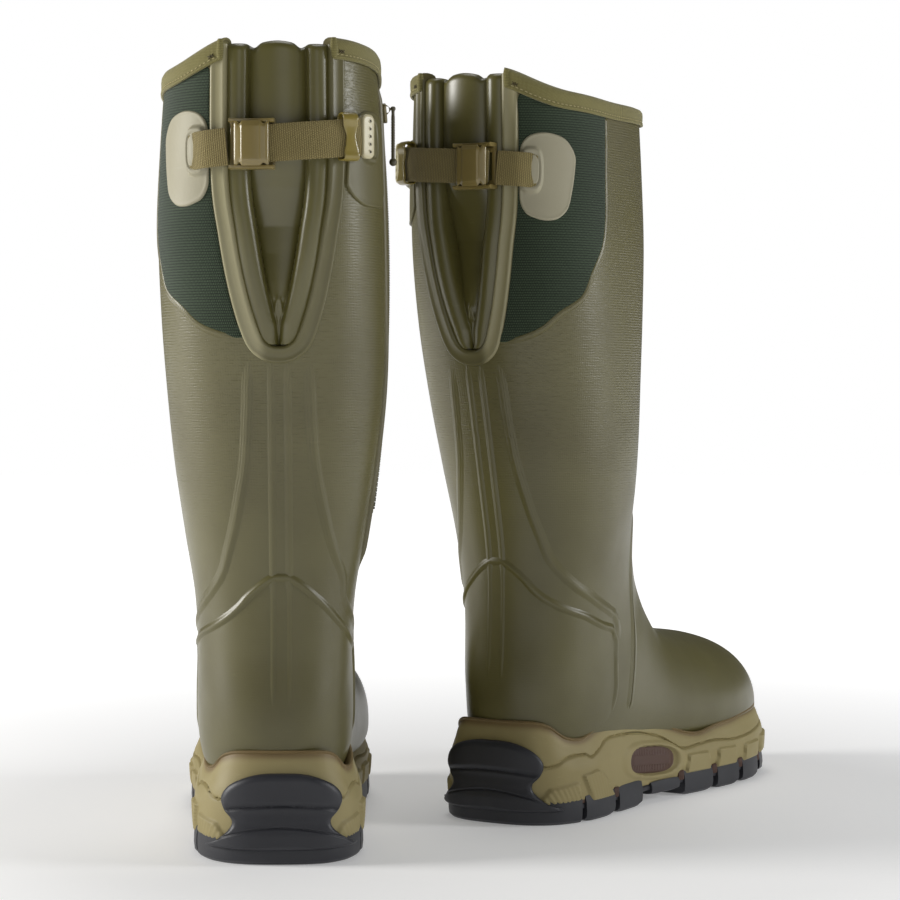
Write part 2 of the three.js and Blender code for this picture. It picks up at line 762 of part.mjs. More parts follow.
// Arch badge: a ribbed oval set in the outer side of the midsole.
const badgeY = 115;
const badgeZ = 27.5;
const badgeHalfY = 28;
const badgeHalfZ = 8.6;
const badgeTilt = 2.5; // fall of the oval's front end
const badgeOutline = (grow) => {
  const points = [];
  for (let i = 0; i < 16; i++) {
    const angle = (i / 16) * 2 * Math.PI;
    const c = Math.cos(angle);
    const s = Math.sin(angle);
    points.push([
      along(badgeY) + (badgeHalfY + grow) * Math.sign(c) * Math.abs(c) ** 0.8,
      badgeZ + (badgeHalfZ + grow) * Math.sign(s) * Math.abs(s) ** 0.8 - badgeTilt * c,
    ]);
  }
  return points;
};
const badgeDepth = 4;
const badgeZone = (near, far) =>
  planPrism(soleOutline(near), 0, 80).subtract(planPrism(soleOutline(far), -1, 81));
const badge = badgeZone(1, 1 + badgeDepth).intersect(sidePrism(badgeOutline(0), 0, big));
const badgeCut = badgeZone(-10, 1 + badgeDepth + gap).intersect(sidePrism(badgeOutline(gap), 0, big));
piece("arch_badge", badge, brown, 0.7);

const midsole = planPrism(soleOutline(0), midLow, soleHeight + 5)
  .intersect(sidePrism(waveOutline(), -big, big))
  .subtract(filledBoot(-gap, 14))
  .subtract(guardCut)
  .subtract(coreSolid(gap))
  .subtract(shankBox(gap))
  .subtract(badgeCut);
piece("midsole", midsole, khaki, 0.8);

// ---- inside the foot ----
const cavity = filledBoot(linerIn + gap, 12);
const boardLow = 34;
const bedLow = boardLow + boardThickness + gap;
const slab = (z0, z1) => block(-big, big, -big, big, z0, z1);
piece("insole_board", cavity.intersect(slab(boardLow, boardLow + boardThickness)), 0xb59c74, 0.9);
piece("footbed", cavity.intersect(slab(bedLow, bedLow + footbedThickness)), 0x4b4d48, 0.95);

// ---- patches ----
const patchCentre = up(387);
const patchCorner = 16;
// The outer patch in the back view; it runs from the band's edge to a share of the leg's width.
const patchOuterOutline = [
  [47, 411.5],
  [41.5, 409],
  [38.2, 402.5],
  [38, 390],
  [37.8, 380],
  [36.3, 377],
  [40, 369],
  [45, 364.3],
  [49.5, 362],
  [53.5, 361.2],
  [57.5, 366],
  [59.5, 377.4],
  [60.3, 390],
  [60.1, 399.4],
  [57, 407.6],
  [52.7, 411],
];
const bandEdge = notchHalfWidth + bandWidth;
const patchNear = 36; // where the band's edge and the patch's far edge lie in that outline
const patchFar = 60.3;
const patchStretch = (patchFar * calfScale - bandEdge) / (patchFar - patchNear);
const patchOuterShape = patchOuterOutline.map(([x, z]) => [bandEdge + (x - patchNear) * patchStretch, up(z)]);
const patchClear = 0.8; // from the band's edge forward to the inner patch
const patchInnerBack = backSkinY(-bandEdge, patchCentre) + patchClear;
const pocketLong = 13; // inner pocket, along the foot
const pocketWide = 9.6; // outer pocket, in the back view
const pocketTall = strapWidth + 4;
const pocketCorner = 3;
const pocketOuterX = 42.7 * calfScale;
const pocketInnerY = -13;
const strapHeightAt = (x) => up(strapHeight) - x * strapSlope;
const behind = (points) => backPrism(points, -big, backReach);
function innerSide(centreY, z, halfLong, halfTall, corner) {
  return sidePrism(roundedOutline(centreY, z, halfLong, halfTall, corner), -big, 0);
}
const patchWallSolid = filledBoot(-gap - patchWall).subtract(hollowTo(-gap));
const pocketWall = filledBoot(-gap - pocketProud).subtract(hollowTo(-gap - 0.4));
const pocketOuterZ = strapHeightAt(pocketOuterX);
const pocketOuterOutline = roundedOutline(
  pocketOuterX,
  pocketOuterZ,
  pocketWide / 2,
  pocketTall / 2,
  pocketCorner,
);
const outerPlate = patchWallSolid.intersect(behind(patchOuterShape));
const outerPocket = pocketWall.intersect(behind(pocketOuterOutline));
const innerPlate = patchWallSolid.intersect(
  innerSide(patchInnerBack + patchWide / 2, patchCentre, patchWide / 2, patchTall / 2, patchCorner),
);
const innerPocketZ = strapHeightAt(-40 * calfScale);
const innerPocket = pocketWall.intersect(
  innerSide(pocketInnerY, innerPocketZ, pocketLong / 2, pocketTall / 2, pocketCorner),
);
const strapRow = 17.75;
const bandRoom = notchCut(bandWidth + gap);
const outerPatch = outerPlate.add(outerPocket).subtract(bandRoom);
const innerPatch = innerPlate.add(innerPocket).subtract(bandRoom);

// A line round the back of the leg at the strap's height; turn runs from the outer side to the inner.
function strapLine(fromTurn, toTurn, clear, steps) {
  return Array.from({ length: steps + 1 }, (_, i) => {
    const p = skinPoint(strapRow, mix(fromTurn, toTurn, i / steps), -clear);
    p.z = strapHeightAt(p.x);
    return p;
  });
}

// ---- strap, buckle and keeper ----
const turnAnchor = 0.405; // inner end of the short webbing, in the outer pocket
const turnAnchorEnd = 0.463;
const turnBuckle = 0.487; // middle of the buckle
const turnFold = 0.476; // where the long webbing turns back inside the buckle
const turnKeeper = 0.58;
const turnTab = 0.604;
const turnInner = 0.63; // end of the long webbing, in the inner pocket
const anchorClear = strapClear - 1;

const strapUnder = strapLine(turnInner, turnFold, strapClear - 1.2, 16);
const strapOver = strapLine(turnFold, turnTab, strapClear - 1.2 + layerStep, 16);
const foldMiddle = strapLine(turnFold - 0.006, turnFold, strapClear - 1.2 + layerStep / 2, 1)[0];
piece("strap", webbing([...strapUnder, foldMiddle, ...strapOver], strapWidth, strapThickness), webTan, 0.95);

const anchorLine = strapLine(turnAnchor, turnAnchorEnd, anchorClear, 6);
piece("strap_anchor", webbing(anchorLine, strapWidth, strapThickness), webTan, 0.95);

// The buckle's own frame: run along the strap, out from the leg, and up.
const buckleAt = skinPoint(strapRow, turnBuckle, -(strapClear - 1.2 + layerStep / 2));
buckleAt.z = strapHeightAt(buckleAt.x);
const nextTo = skinPoint(strapRow, turnBuckle - 0.01, -(strapClear - 1.2 + layerStep / 2));
const buckleRun = nextTo.clone().sub(buckleAt).setZ(0).normalize(); // towards the outer side
const buckleOut = new THREE.Vector3(buckleRun.y, -buckleRun.x, 0);
const buckleBasis = new THREE.Matrix4()
  .makeBasis(buckleRun, buckleOut.clone().negate(), new THREE.Vector3(0, 0, 1))
  .setPosition(buckleAt);
const inBuckle = (solid) => solid.transform(buckleBasis.toArray());

const railIn = strapWidth / 2 + (strapSlope * buckleLength) / 2 + gap; // the webbing runs aslant
const railOut = railIn + buckleWall;
// How far in towards the leg the base plate's inner face lies.
const plateIn = layerStep / 2 + strapThickness / 2 + 1.4 + buckleWall;
const railTop = 5;
const barLength = 2.4;
const windowLong = buckleLength / 2 - barLength;
let frameSolid = block(-buckleLength / 2, buckleLength / 2, plateIn - buckleWall, plateIn, -railOut, railOut);
frameSolid = frameSolid.subtract(block(-windowLong, windowLong, -10, 10, -railIn + 1.5, railIn - 1.5));
[-1, 1].forEach((s) => {
  const [z0, z1] = s > 0 ? [railIn, railOut] : [-railOut, -railIn];
  frameSolid = frameSolid.add(block(-buckleLength / 2, buckleLength / 2, -railTop, plateIn, z0, z1));
});
piece("buckle_frame", inBuckle(frameSolid), buckleTan, 0.45);

// The cam cover turns on a line across the strap near the frame's inner end.
const camX = -buckleLength / 2 + 4;
const camRadius = 1.5;
const camY = -(layerStep / 2 + strapThickness / 2 + 0.5 + camRadius);
const leverHalf = railIn - gap;
const coverSide = [
  [camX - camRadius, camY],
  [camX - 1.2, camY - 2.2],
  [camX + 3, camY - 3.4],
  [camX + leverLength * 0.5, camY - 3.0],
  [camX + leverLength - 2, camY - 3.4],
  [camX + leverLength, camY - 2.2],
  [camX + leverLength - 0.6, camY - 3.4 + leverThickness],
  [camX + leverLength * 0.5, camY - 2.8 + leverThickness],
  [camX + 3, camY - 1.2 + camRadius],
  [camX, camY + camRadius],
];
const lever = planPrism(coverSide, -leverHalf, leverHalf);
piece("buckle_lever", inBuckle(lever), buckleTan, 0.35);

// Spring clip round both layers of webbing.
function aroundStrap(turn, length, height, proud, wallThickness, layers) {
  const at = skinPoint(strapRow, turn, -(strapClear - 1.2 + (layers * layerStep) / 2));
  at.z = strapHeightAt(at.x);
  const near = skinPoint(strapRow, turn - 0.01, -(strapClear - 1.2 + (layers * layerStep) / 2));
  const run = near.sub(at).setZ(0).normalize();
  const basis = new THREE.Matrix4()
    .makeBasis(run, new THREE.Vector3(-run.y, run.x, 0), new THREE.Vector3(0, 0, 1))
    .setPosition(at);
  const half = length / 2;
  const solid = block(-half, half, -proud, proud, -height / 2, height / 2);
  const hole = [proud - wallThickness, height / 2 - wallThickness];
  const cut = block(-half - 1, half + 1, -hole[0], hole[0], -hole[1], hole[1]);
  return { basis, solid: wallThickness > 0 ? solid.subtract(cut) : solid };
}
const keeperWall = 1.1;
const keeperProud = layerStep / 2 + strapThickness / 2 + 2;
const keeper = aroundStrap(turnKeeper, keeperWidth, strapWidth + 4, keeperProud, keeperWall, 1);
const keeperSolid = keeper.solid.transform(keeper.basis.toArray());
piece("strap_keeper", keeperSolid, 0x8d7a35, 0.4);

const tabTall = strapWidth + 4;
const tab = aroundStrap(turnTab + 0.012, tabLength, tabTall, 1.6, 0, 2);
let tabSolid = tab.solid;
[-2, -1, 0, 1, 2].forEach((i) => {
  const g = new THREE.CylinderGeometry(tabHole, tabHole, 20, 8);
  tabSolid = tabSolid.subtract(solidFrom(g.translate(-tabLength / 6, 0, i * 4.4)));
});
const strapRoom = webbing(strapOver, strapWidth + 2 * gap, strapThickness + 2 * gap);
piece("strap_tab", tabSolid.transform(tab.basis.toArray()).subtract(strapRoom), beige, 0.5);

// Pockets have a mouth for the webbing.
const anchorRoom = webbing(anchorLine, strapWidth + 2 * gap, strapThickness + 2 * gap);
const underRoom = webbing(strapUnder, strapWidth + 2 * gap, strapThickness + 2 * gap);
const patchRoom = anchorRoom.add(underRoom);
piece("outer_patch", outerPatch.subtract(patchRoom), beige, 0.6);
piece("inner_patch", innerPatch.subtract(patchRoom), oliveDark, 0.6);

// ---- zip ----
const tape = zipBand(zipBottom + gap, zipTop - gap, -zipWall, 0, zipWidth);
const teeth = zipBand(zipBottom + 4, zipTop - 4, -0.2, toothProud, toothWidth);
piece("zip_tape", tape.add(teeth), 0x35362f, 0.8);

const placketY = zipWidth / 2 + 5.5;
const placketLow = 158;
const placketWide = 8;
const placketProud = 2.2;
const placketOutline = [
  [zipY(placketLow) - placketY - 1, placketLow],
  [zipY(placketLow) - placketY + 1.5, placketLow],
  [zipY(zipBottom) - placketY + placketWide / 2, zipBottom],
  [zipY(zipTop) - placketY + placketWide / 2, zipTop],
  [zipY(zipTop) - placketY - placketWide / 2, zipTop],
  [zipY(zipBottom) - placketY - placketWide / 2, zipBottom],
];
const placketWall = filledBoot(-gap - placketProud).subtract(hollowTo(-gap));
piece("zip_placket", placketWall.intersect(sidePrism(placketOutline, -big, 0)), oliveDark, 0.6);

const sliderTop = up(sliderTopHeight);
const sliderLow = sliderTop - sliderLength;
const sliderBase = toothProud + gap;
let slider = zipBand(sliderLow, sliderTop, sliderBase, sliderBase + sliderWall, sliderWidth, 0, 2);
const lugTall = 1.6;
const lugLow = sliderBase + sliderWall - 0.4;
const lugHigh = sliderBase + sliderWall + lugTall;
const lug = zipBand(sliderTop - 5, sliderTop - 2, lugLow, lugHigh, 2, 0, 1);
slider = slider.add(lug);
piece("zip_slider", slider, 0x6f6748, 0.4, 0.3);

// The puller hangs from the slider's lug: a small yoke, a cord and a ball.
const pullerOut = sliderBase + sliderWall + lugTall + gap + pullerRadius;
const pullerTop = sliderTop - 3.5;
const pullerLine = (z) => zipPoint(pullerTop, pullerOut).addScaledVector(zipStep, z - pullerTop);
const cord = new THREE.CylinderGeometry(pullerRadius, pullerRadius, pullerLength, 8);
const cordTurn = new THREE.Matrix4().lookAt(new THREE.Vector3(), zipStep, new THREE.Vector3(1, 0, 0));
const cordAt = pullerLine(pullerTop - pullerLength / 2);
cord.rotateX(Math.PI / 2).applyMatrix4(cordTurn).translate(cordAt.x, cordAt.y, cordAt.z);
const ballAt = pullerLine(pullerTop - pullerLength);
const ball = new THREE.SphereGeometry(pullerBall, 8, 6).translate(ballAt.x, ballAt.y, ballAt.z);
piece("zip_puller", solidFrom(cord).add(solidFrom(ball)), 0x4d4a35, 0.7);

// ---- the pair ----
const pair = new THREE.Group();
function addBoot(prefix, mirrored, x, y, turn) {
  const boot = new THREE.Group();
  parts.forEach(({ name, geometry, colour, roughness, metalness }) => {
    const material = new THREE.MeshStandardMaterial({ color: colour, roughness, metalness });
    const mesh = new THREE.Mesh(geometry, material);
    mesh.name = prefix + name;
    boot.add(mesh);
  });
  boot.position.set(x, y, 0);
  boot.rotation.z = THREE.MathUtils.degToRad(turn);
  if (mirrored) boot.scale.x = -1;
  pair.add(boot);
}
addBoot("left_", true, 0, 0, leftTurn);
addBoot("right_", false, heelStepX, heelStepY, -rightTurn);

// The origin is the middle of the pair's footprint, on the floor.
pair.updateMatrixWorld(true);
const box = new THREE.Box3().setFromObject(pair, true);
const middle = box.getCenter(new THREE.Vector3());
const centred = new THREE.Group();
pair.position.set(-middle.x, -middle.y, -box.min.z);
centred.add(pair);

export default centred;
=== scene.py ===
# A pair of tall insulated rubber boots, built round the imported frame.
import math

import bmesh
import bpy
import numpy as np
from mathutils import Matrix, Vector


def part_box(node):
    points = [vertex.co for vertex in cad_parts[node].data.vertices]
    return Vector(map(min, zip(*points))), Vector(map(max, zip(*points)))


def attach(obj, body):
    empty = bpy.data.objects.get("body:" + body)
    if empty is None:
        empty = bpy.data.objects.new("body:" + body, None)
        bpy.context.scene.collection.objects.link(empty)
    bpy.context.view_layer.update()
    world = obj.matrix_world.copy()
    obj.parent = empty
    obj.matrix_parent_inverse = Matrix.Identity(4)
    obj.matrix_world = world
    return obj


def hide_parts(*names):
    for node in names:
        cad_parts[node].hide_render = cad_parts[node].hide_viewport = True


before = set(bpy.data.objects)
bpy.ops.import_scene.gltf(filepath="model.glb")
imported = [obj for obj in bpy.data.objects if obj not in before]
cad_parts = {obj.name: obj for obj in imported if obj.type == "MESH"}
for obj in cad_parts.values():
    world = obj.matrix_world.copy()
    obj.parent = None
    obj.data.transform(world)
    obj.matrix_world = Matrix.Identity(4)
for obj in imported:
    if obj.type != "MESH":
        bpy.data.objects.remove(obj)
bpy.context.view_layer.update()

# Both boots are drawn once, in millimetres, as a right boot: +X outwards, Y from heel to toe.
# The shank lies on the boot's middle line, so its middle gives the boot's place.
stance = {"turn": {"left": 1.6, "right": -31.0}, "mirror": {"left": -1, "right": 1}, "shankMiddle": 115}
sides = ("left", "right")


# The heel's place: the shank's middle, moved back along the foot by its distance from the heel.
def heelPoint(side):
    low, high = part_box(side + "_shank")
    turn = math.radians(stance["turn"][side])
    reach = stance["shankMiddle"] / 1000
    middle = (low + high) / 2
    return np.array([middle.x + math.sin(turn) * reach, middle.y - math.cos(turn) * reach, 0.0])


heels = {side: heelPoint(side) for side in sides}


# Boot millimetres to world metres: mirror, turn about the heel, then move to the heel's place.
def toWorld(points, side):
    turn = math.radians(stance["turn"][side])
    x = points[..., 0] * stance["mirror"][side] / 1000
    y = points[..., 1] / 1000
    out = np.empty(points.shape)
    out[..., 0] = x * math.cos(turn) - y * math.sin(turn) + heels[side][0]
    out[..., 1] = x * math.sin(turn) + y * math.cos(turn) + heels[side][1]
    out[..., 2] = points[..., 2] / 1000
    return out


# The camera stands behind the left heel, a little to the right, and looks along +Y.
cameraValues = {"right": 93, "back": 1372, "high": 262, "lens": 100, "tilt": 1.389}


def makeCamera():
    data = bpy.data.cameras.new("camera")
    data.lens = cameraValues["lens"]
    data.sensor_width = 36
    camera = bpy.data.objects.new("camera", data)
    x = heels["left"][0] + cameraValues["right"] / 1000
    y = heels["left"][1] - cameraValues["back"] / 1000
    camera.location = (x, y, cameraValues["high"] / 1000)
    camera.rotation_euler = (math.radians(90 - cameraValues["tilt"]), 0, 0)
    bpy.context.scene.collection.objects.link(camera)
    bpy.context.scene.camera = camera


# Each light: name, place, size, watts, colour.
lightValues = [
    ("key", (-1.9, -0.25, 0.75), 0.75, 33, (1.0, 0.985, 0.96)),
    ("right", (1.7, -0.25, 0.7), 0.55, 13, (0.98, 0.99, 1.0)),
    ("front", (0.3, -1.9, 0.8), 1.0, 2.2, (1, 1, 1)),
    ("top", (0.0, 0.3, 1.9), 1.0, 8, (1, 1, 1)),
]
worldValues = {"seen": 1.0, "lighting": 0.1}


def makeLights():
    aim = Vector((0, 0, 0.22))
    for name, place, size, watts, colour in lightValues:
        data = bpy.data.lights.new(name, "AREA")
        data.shape = "DISK"
        data.size = size
        data.energy = watts
        data.color = colour
        light = bpy.data.objects.new(name, data)
        light.location = place
        light.rotation_euler = (aim - Vector(place)).to_track_quat("-Z", "Y").to_euler()
        bpy.context.scene.collection.objects.link(light)
    world = bpy.data.worlds.new("studio")
    bpy.context.scene.world = world
    world.use_nodes = True
    tree = world.node_tree
    shader = tree.nodes["Background"]
    shader.inputs["Color"].default_value = (1, 1, 1, 1)
    # the backdrop is white to the eye but lights the boots only softly
    path = tree.nodes.new("ShaderNodeLightPath")
    strength = tree.nodes.new("ShaderNodeMapRange")
    strength.inputs["To Min"].default_value = worldValues["lighting"]
    strength.inputs["To Max"].default_value = worldValues["seen"]
    tree.links.new(path.outputs["Is Camera Ray"], strength.inputs["Value"])
    tree.links.new(strength.outputs["Result"], shader.inputs["Strength"])


makeCamera()
makeLights()
bpy.context.scene.view_settings.view_transform = "Standard"
bpy.context.scene.view_settings.look = "None"
print("camera and lights made")

# One row for each section of the skin: front point y, z; back point y, z; reach outwards and
# inwards; where the widest point lies; squareness at the front and back.
sections = np.array([
    [307, 50, 307, 34, 10, 4, 0.5, 2.2, 2.2],
    [300, 64, 302, 27, 29, 20, 0.4, 2.3, 2.5],
    [285, 79, 287, 24, 44, 34, 0.38, 2.3, 2.7],
    [262, 91, 264, 24, 54, 42, 0.36, 2.3, 2.7],
    [235, 98, 235, 24, 59.5, 46.5, 0.35, 2.3, 2.6],
    [205, 102, 203, 24, 59.5, 46.5, 0.36, 2.2, 2.5],
    [178, 107, 168, 24, 55.5, 41, 0.38, 2.2, 2.5],
    [155, 118, 132, 24, 51.5, 38, 0.4, 2.2, 2.5],
    [143, 132, 92, 24, 50.5, 38, 0.42, 2.3, 2.5],
    [135, 146, 50, 25, 50.5, 39, 0.44, 2.4, 2.5],
    [131, 162, 15, 32, 50, 39, 0.46, 2.4, 2.5],
    [128, 180, 3.5, 70, 49.5, 38.5, 0.48, 2.4, 2.4],
    [123, 198, 5.5, 115, 51.5, 41, 0.5, 2.35, 2.35],
    [118, 216, 5, 160, 57, 47, 0.5, 2.3, 2.35],
    [115, 240, -5, 208, 62, 52.5, 0.5, 2.3, 2.4],
    [113.5, 272, -16, 255, 65.5, 56.5, 0.5, 2.3, 2.5],
    [114.5, 310, -27, 302, 68, 57.5, 0.5, 2.3, 2.7],
    [116, 355, -34, 352, 69, 57, 0.5, 2.3, 2.9],
    [117, 400, -36.5, 404, 67, 55, 0.5, 2.3, 2.9],
    [117.5, 438, -37, 449, 64.5, 53, 0.5, 2.3, 2.9],
], float)
topRow = len(sections) - 1


# Catmull-Rom curve through the rows of a table at fractional rows t, straight past its end.
def throughRows(rows, t):
    last = len(rows) - 1
    padded = np.vstack([2 * rows[0] - rows[1], rows, 2 * rows[-1] - rows[-2]])
    i = np.clip(np.floor(t).astype(int), 0, last - 1)
    u = (np.minimum(t, last) - i)[..., None]
    a, b, c, d = padded[i], padded[i + 1], padded[i + 2], padded[i + 3]
    cubic = (2 * a - 5 * b + 4 * c - d) * u**2 + (3 * b - a - 3 * c + d) * u**3
    past = np.maximum(t - last, 0)[..., None]
    return 0.5 * (2 * b + (c - a) * u + cubic) + past * (rows[-1] - rows[-2])


# Smooth change from 0 at a to 1 at b.
def ease(a, b, x):
    u = np.clip((x - a) / (b - a), 0, 1)
    return u * u * (3 - 2 * u)


# Distances along a line from its first point.
def runAlong(points):
    return np.concatenate([[0], np.cumsum(np.linalg.norm(np.diff(points, axis=0), axis=1))])


# Points of a line at the given distances along it.
def pointsAt(at, run, points):
    return np.stack([np.interp(at, run, points[:, k]) for k in range(points.shape[1])], 1)


# A power that keeps its value's sign.
def signedPower(value, power):
    return np.sign(value) * np.abs(value) ** power


# A smooth bump of height 1 round `middle`, gone at `half` to either side.
def bump(x, middle, half):
    return 1 - ease(0, 1, np.abs(x - middle) / half)


# The top edge falls by this much on the outer side, less towards the front.
dipValues = {"fall": 12, "rows": (16, 19), "across": (22, 60), "along": (20, 110), "fade": 0.45}


# A point of the skin. Section t is a rounded outline between a front and a back point, with
# its own reach to each side: cosine along, sine across, each raised to a power for squareness.
# Turn 0 is the front, a quarter the outer side, a half the back.
def skin(t, turn, inset=0.0):
    t, turn, inset = np.broadcast_arrays(*[np.asarray(each, float) for each in (t, turn, inset)])
    row = throughRows(sections, t)
    front, back = row[..., 0:2], row[..., 2:4]
    along = front - back
    length = np.hypot(along[..., 0], along[..., 1])
    toward = along / length[..., None]
    c, s = np.cos(turn * 2 * np.pi), np.sin(turn * 2 * np.pi)
    power = 2 / np.where(c > 0, row[..., 7], row[..., 8])
    lengthwise = signedPower(c, power)
    sideways = signedPower(s, power)
    widest = row[..., 6]
    reach = np.where(c > 0, 1 - widest, widest) * length - inset
    across = np.maximum(np.where(s > 0, row[..., 4], row[..., 5]) - inset, 0.5)
    d = widest * length + np.maximum(reach, 0.5) * lengthwise
    x = across * sideways
    y = back[..., 0] + toward[..., 0] * d - inset * np.clip(1 - t / 3, 0, 1)
    v = dipValues
    share = ease(*v["across"], x) * (1 - v["fade"] * ease(*v["along"], y)) * ease(*v["rows"], t)
    z = back[..., 1] + toward[..., 1] * d - v["fall"] * share
    return np.stack([x, y, z], -1)


# The skin's outward direction: the cross product of its two slopes.
def skinOut(t, turn):
    step = 2e-3
    t, turn = np.broadcast_arrays(np.asarray(t, float), np.asarray(turn, float))
    rise = skin(np.minimum(t + step, topRow + 1), turn) - skin(np.maximum(t - step, 0), turn)
    sweep = skin(t, turn + step) - skin(t, turn - step)
    out = np.cross(rise, sweep)
    return out / np.maximum(np.linalg.norm(out, axis=-1, keepdims=True), 1e-9)


# The skin raised by `high` along its outward direction.
def raised(t, turn, high):
    return skin(t, turn) + skinOut(t, turn) * np.asarray(high, float)[..., None]


# A net of samples on the skin, from which a place on it is looked up; a point seen from behind
# is never further forward than `backLimit`.
searchValues = {"samples": 400, "margin": 0.3, "backLimit": 45, "steps": 5, "stepT": 0.2, "stepTurn": 0.02}
searchRows = np.linspace(searchValues["margin"], topRow + searchValues["margin"], searchValues["samples"])
searchTurns = np.linspace(0, 1, searchValues["samples"], endpoint=False)
searchT, searchTurn = np.meshgrid(searchRows, searchTurns, indexing="ij")
searchPoints = skin(searchT, searchTurn)


# Section and turn for points seen from the side (y, z) or from behind (x, z): the nearest
# sample on the wanted half, then a few Newton steps on the two seen coordinates.
def locate(view, points, outer=True):
    v = searchValues
    axes = (1, 2) if view == "side" else (0, 2)
    found = []
    for a, b in points:
        miss = (searchPoints[..., axes[0]] - a) ** 2 + (searchPoints[..., axes[1]] - b) ** 2
        if view == "side":
            wrong = searchPoints[..., 0] * (1 if outer else -1) < 0
        else:
            wrong = searchPoints[..., 1] > v["backLimit"]
        k = np.argmin(np.where(wrong, 1e9, miss))
        found.append([searchT.flat[k], searchTurn.flat[k]])
    place = np.array(found)
    want = np.array(points, float)
    step = 1e-4
    for _ in range(v["steps"]):
        here = skin(place[:, 0], place[:, 1])[:, axes]
        dt = (skin(place[:, 0] + step, place[:, 1])[:, axes] - here) / step
        du = (skin(place[:, 0], place[:, 1] + step)[:, axes] - here) / step
        area = dt[:, 0] * du[:, 1] - dt[:, 1] * du[:, 0]
        area = np.where(np.abs(area) < 1e-3, 1e9, area)
        off = want - here
        moveT = (off[:, 0] * du[:, 1] - off[:, 1] * du[:, 0]) / area
        moveTurn = (off[:, 1] * dt[:, 0] - off[:, 0] * dt[:, 1]) / area
        place[:, 0] += np.clip(moveT, -v["stepT"], v["stepT"])
        place[:, 1] += np.clip(moveTurn, -v["stepTurn"], v["stepTurn"])
    return place


# Points spread evenly along a smooth curve through the given ones.
def smoothLine(points, count, closed=False):
    points = np.asarray(points, float)
    if closed:
        rows = np.vstack([points[-2:], points, points[:3]])
        fine = throughRows(rows, np.linspace(2, 2 + len(points), len(points) * 24 + 1))
    else:
        fine = throughRows(points, np.linspace(0, len(points) - 1, len(points) * 24))
    run = runAlong(fine)
    even = np.linspace(0, run[-1], count + 1)[:-1] if closed else np.linspace(0, run[-1], count)
    return pointsAt(even, run, fine)


# A curve drawn in one view, smoothed and laid on the skin.
def lineOnSkin(view, points, count, outer=True, closed=False):
    return locate(view, smoothLine(points, count, closed), outer)


# The skin at an array of (t, turn) pairs.
def onSkin(place):
    return skin(place[..., 0], place[..., 1])


# Moves (t, turn) by millimetres along a direction that lies in the skin.
def shiftOnSkin(place, direction, distance):
    t, turn = place[..., 0], place[..., 1]
    step = 1e-3
    dt = (skin(t + step, turn) - skin(t - step, turn)) / (2 * step)
    du = (skin(t, turn + step) - skin(t, turn - step)) / (2 * step)
    tt, tu, uu = (dt * dt).sum(-1), (dt * du).sum(-1), (du * du).sum(-1)
    rt, ru = (dt * direction).sum(-1), (du * direction).sum(-1)
    area = np.maximum(tt * uu - tu * tu, 1e-6)
    move = np.stack([(rt * uu - ru * tu) / area, (ru * tt - rt * tu) / area], -1)
    return place + move * np.asarray(distance, float)[..., None]


# Quads between the rows and columns of a grid; a wrapped grid joins its last to its first.
def gridFaces(rows, columns, wrapColumns=False, wrapRows=False):
    i = np.arange(rows if wrapRows else rows - 1)[:, None]
    j = np.arange(columns if wrapColumns else columns - 1)[None, :]
    k, down = (j + 1) % columns, (i + 1) % rows
    quads = np.stack([i * columns + j, down * columns + j, down * columns + k, i * columns + k], -1)
    return quads.reshape(-1, 4)


# A sheet of quads over a grid of points; flip turns its faces over.
def grid(points, uv, wrapColumns=False, wrapRows=False, flip=False):
    rows, columns = points.shape[:2]
    faces = gridFaces(rows, columns, wrapColumns, wrapRows)
    if flip:
        faces = faces[:, ::-1]
    return {"points": points.reshape(-1, 3), "faces": faces, "uv": uv.reshape(-1, 2)}


# Several parts as one, each keeping its own points.
def joined(parts):
    base = 0
    faces = []
    for part in parts:
        faces.append(part["faces"] + base)
        base += len(part["points"])
    points = np.vstack([part["points"] for part in parts])
    return {"points": points, "faces": np.vstack(faces), "uv": np.vstack([part["uv"] for part in parts])}


# Turns a closed body's faces outwards: its volume, summed over the faces, is made positive.
def facing(part):
    a, b, c, d = (part["points"][part["faces"][:, k]] for k in range(4))
    volume = (a * (np.cross(b, c) + np.cross(c, d))).sum()
    if volume < 0:
        part["faces"] = part["faces"][:, ::-1]
    return part


# A closed body between an upper and a lower grid, with walls along its open borders.
def between(top, bottom, uv, wrapColumns=False, closeEnd=True):
    parts = [grid(top, uv, wrapColumns), grid(bottom, uv, wrapColumns, flip=True)]
    parts.append(grid(np.stack([top[0], bottom[0]]), np.stack([uv[0], uv[0]]), wrapColumns, flip=True))
    if closeEnd:
        parts.append(grid(np.stack([top[-1], bottom[-1]]), np.stack([uv[-1], uv[-1]]), wrapColumns))
    if not wrapColumns:
        for j, flip in ((0, False), (-1, True)):
            wall = np.stack([top[:, j], bottom[:, j]])
            parts.append(grid(wall, np.stack([uv[:, j], uv[:, j]]), flip=flip))
    return facing(joined(parts))


# Closed loops of points carried along a path, closed by flat caps; UV in metres.
def tube(loops):
    count, n = loops.shape[:2]
    run = runAlong(loops.mean(1))
    girth = runAlong(loops[count // 2])
    uv = np.stack(np.meshgrid(run, girth, indexing="ij"), -1) / 1000
    body = grid(loops, uv, wrapColumns=True)
    points = np.vstack([body["points"], loops[0].mean(0), loops[-1].mean(0)])
    j = np.arange(n)
    k = (j + 1) % n
    last = (count - 1) * n
    a, b = np.full(n, count * n), np.full(n, count * n + 1)
    capA = np.stack([a, j, k, k], 1)
    capB = np.stack([b, last + k, last + j, last + j], 1)
    uvAll = np.vstack([uv.reshape(-1, 2), uv[0, 0], uv[-1, 0]])
    return facing({"points": points, "faces": np.vstack([body["faces"], capA, capB]), "uv": uvAll})


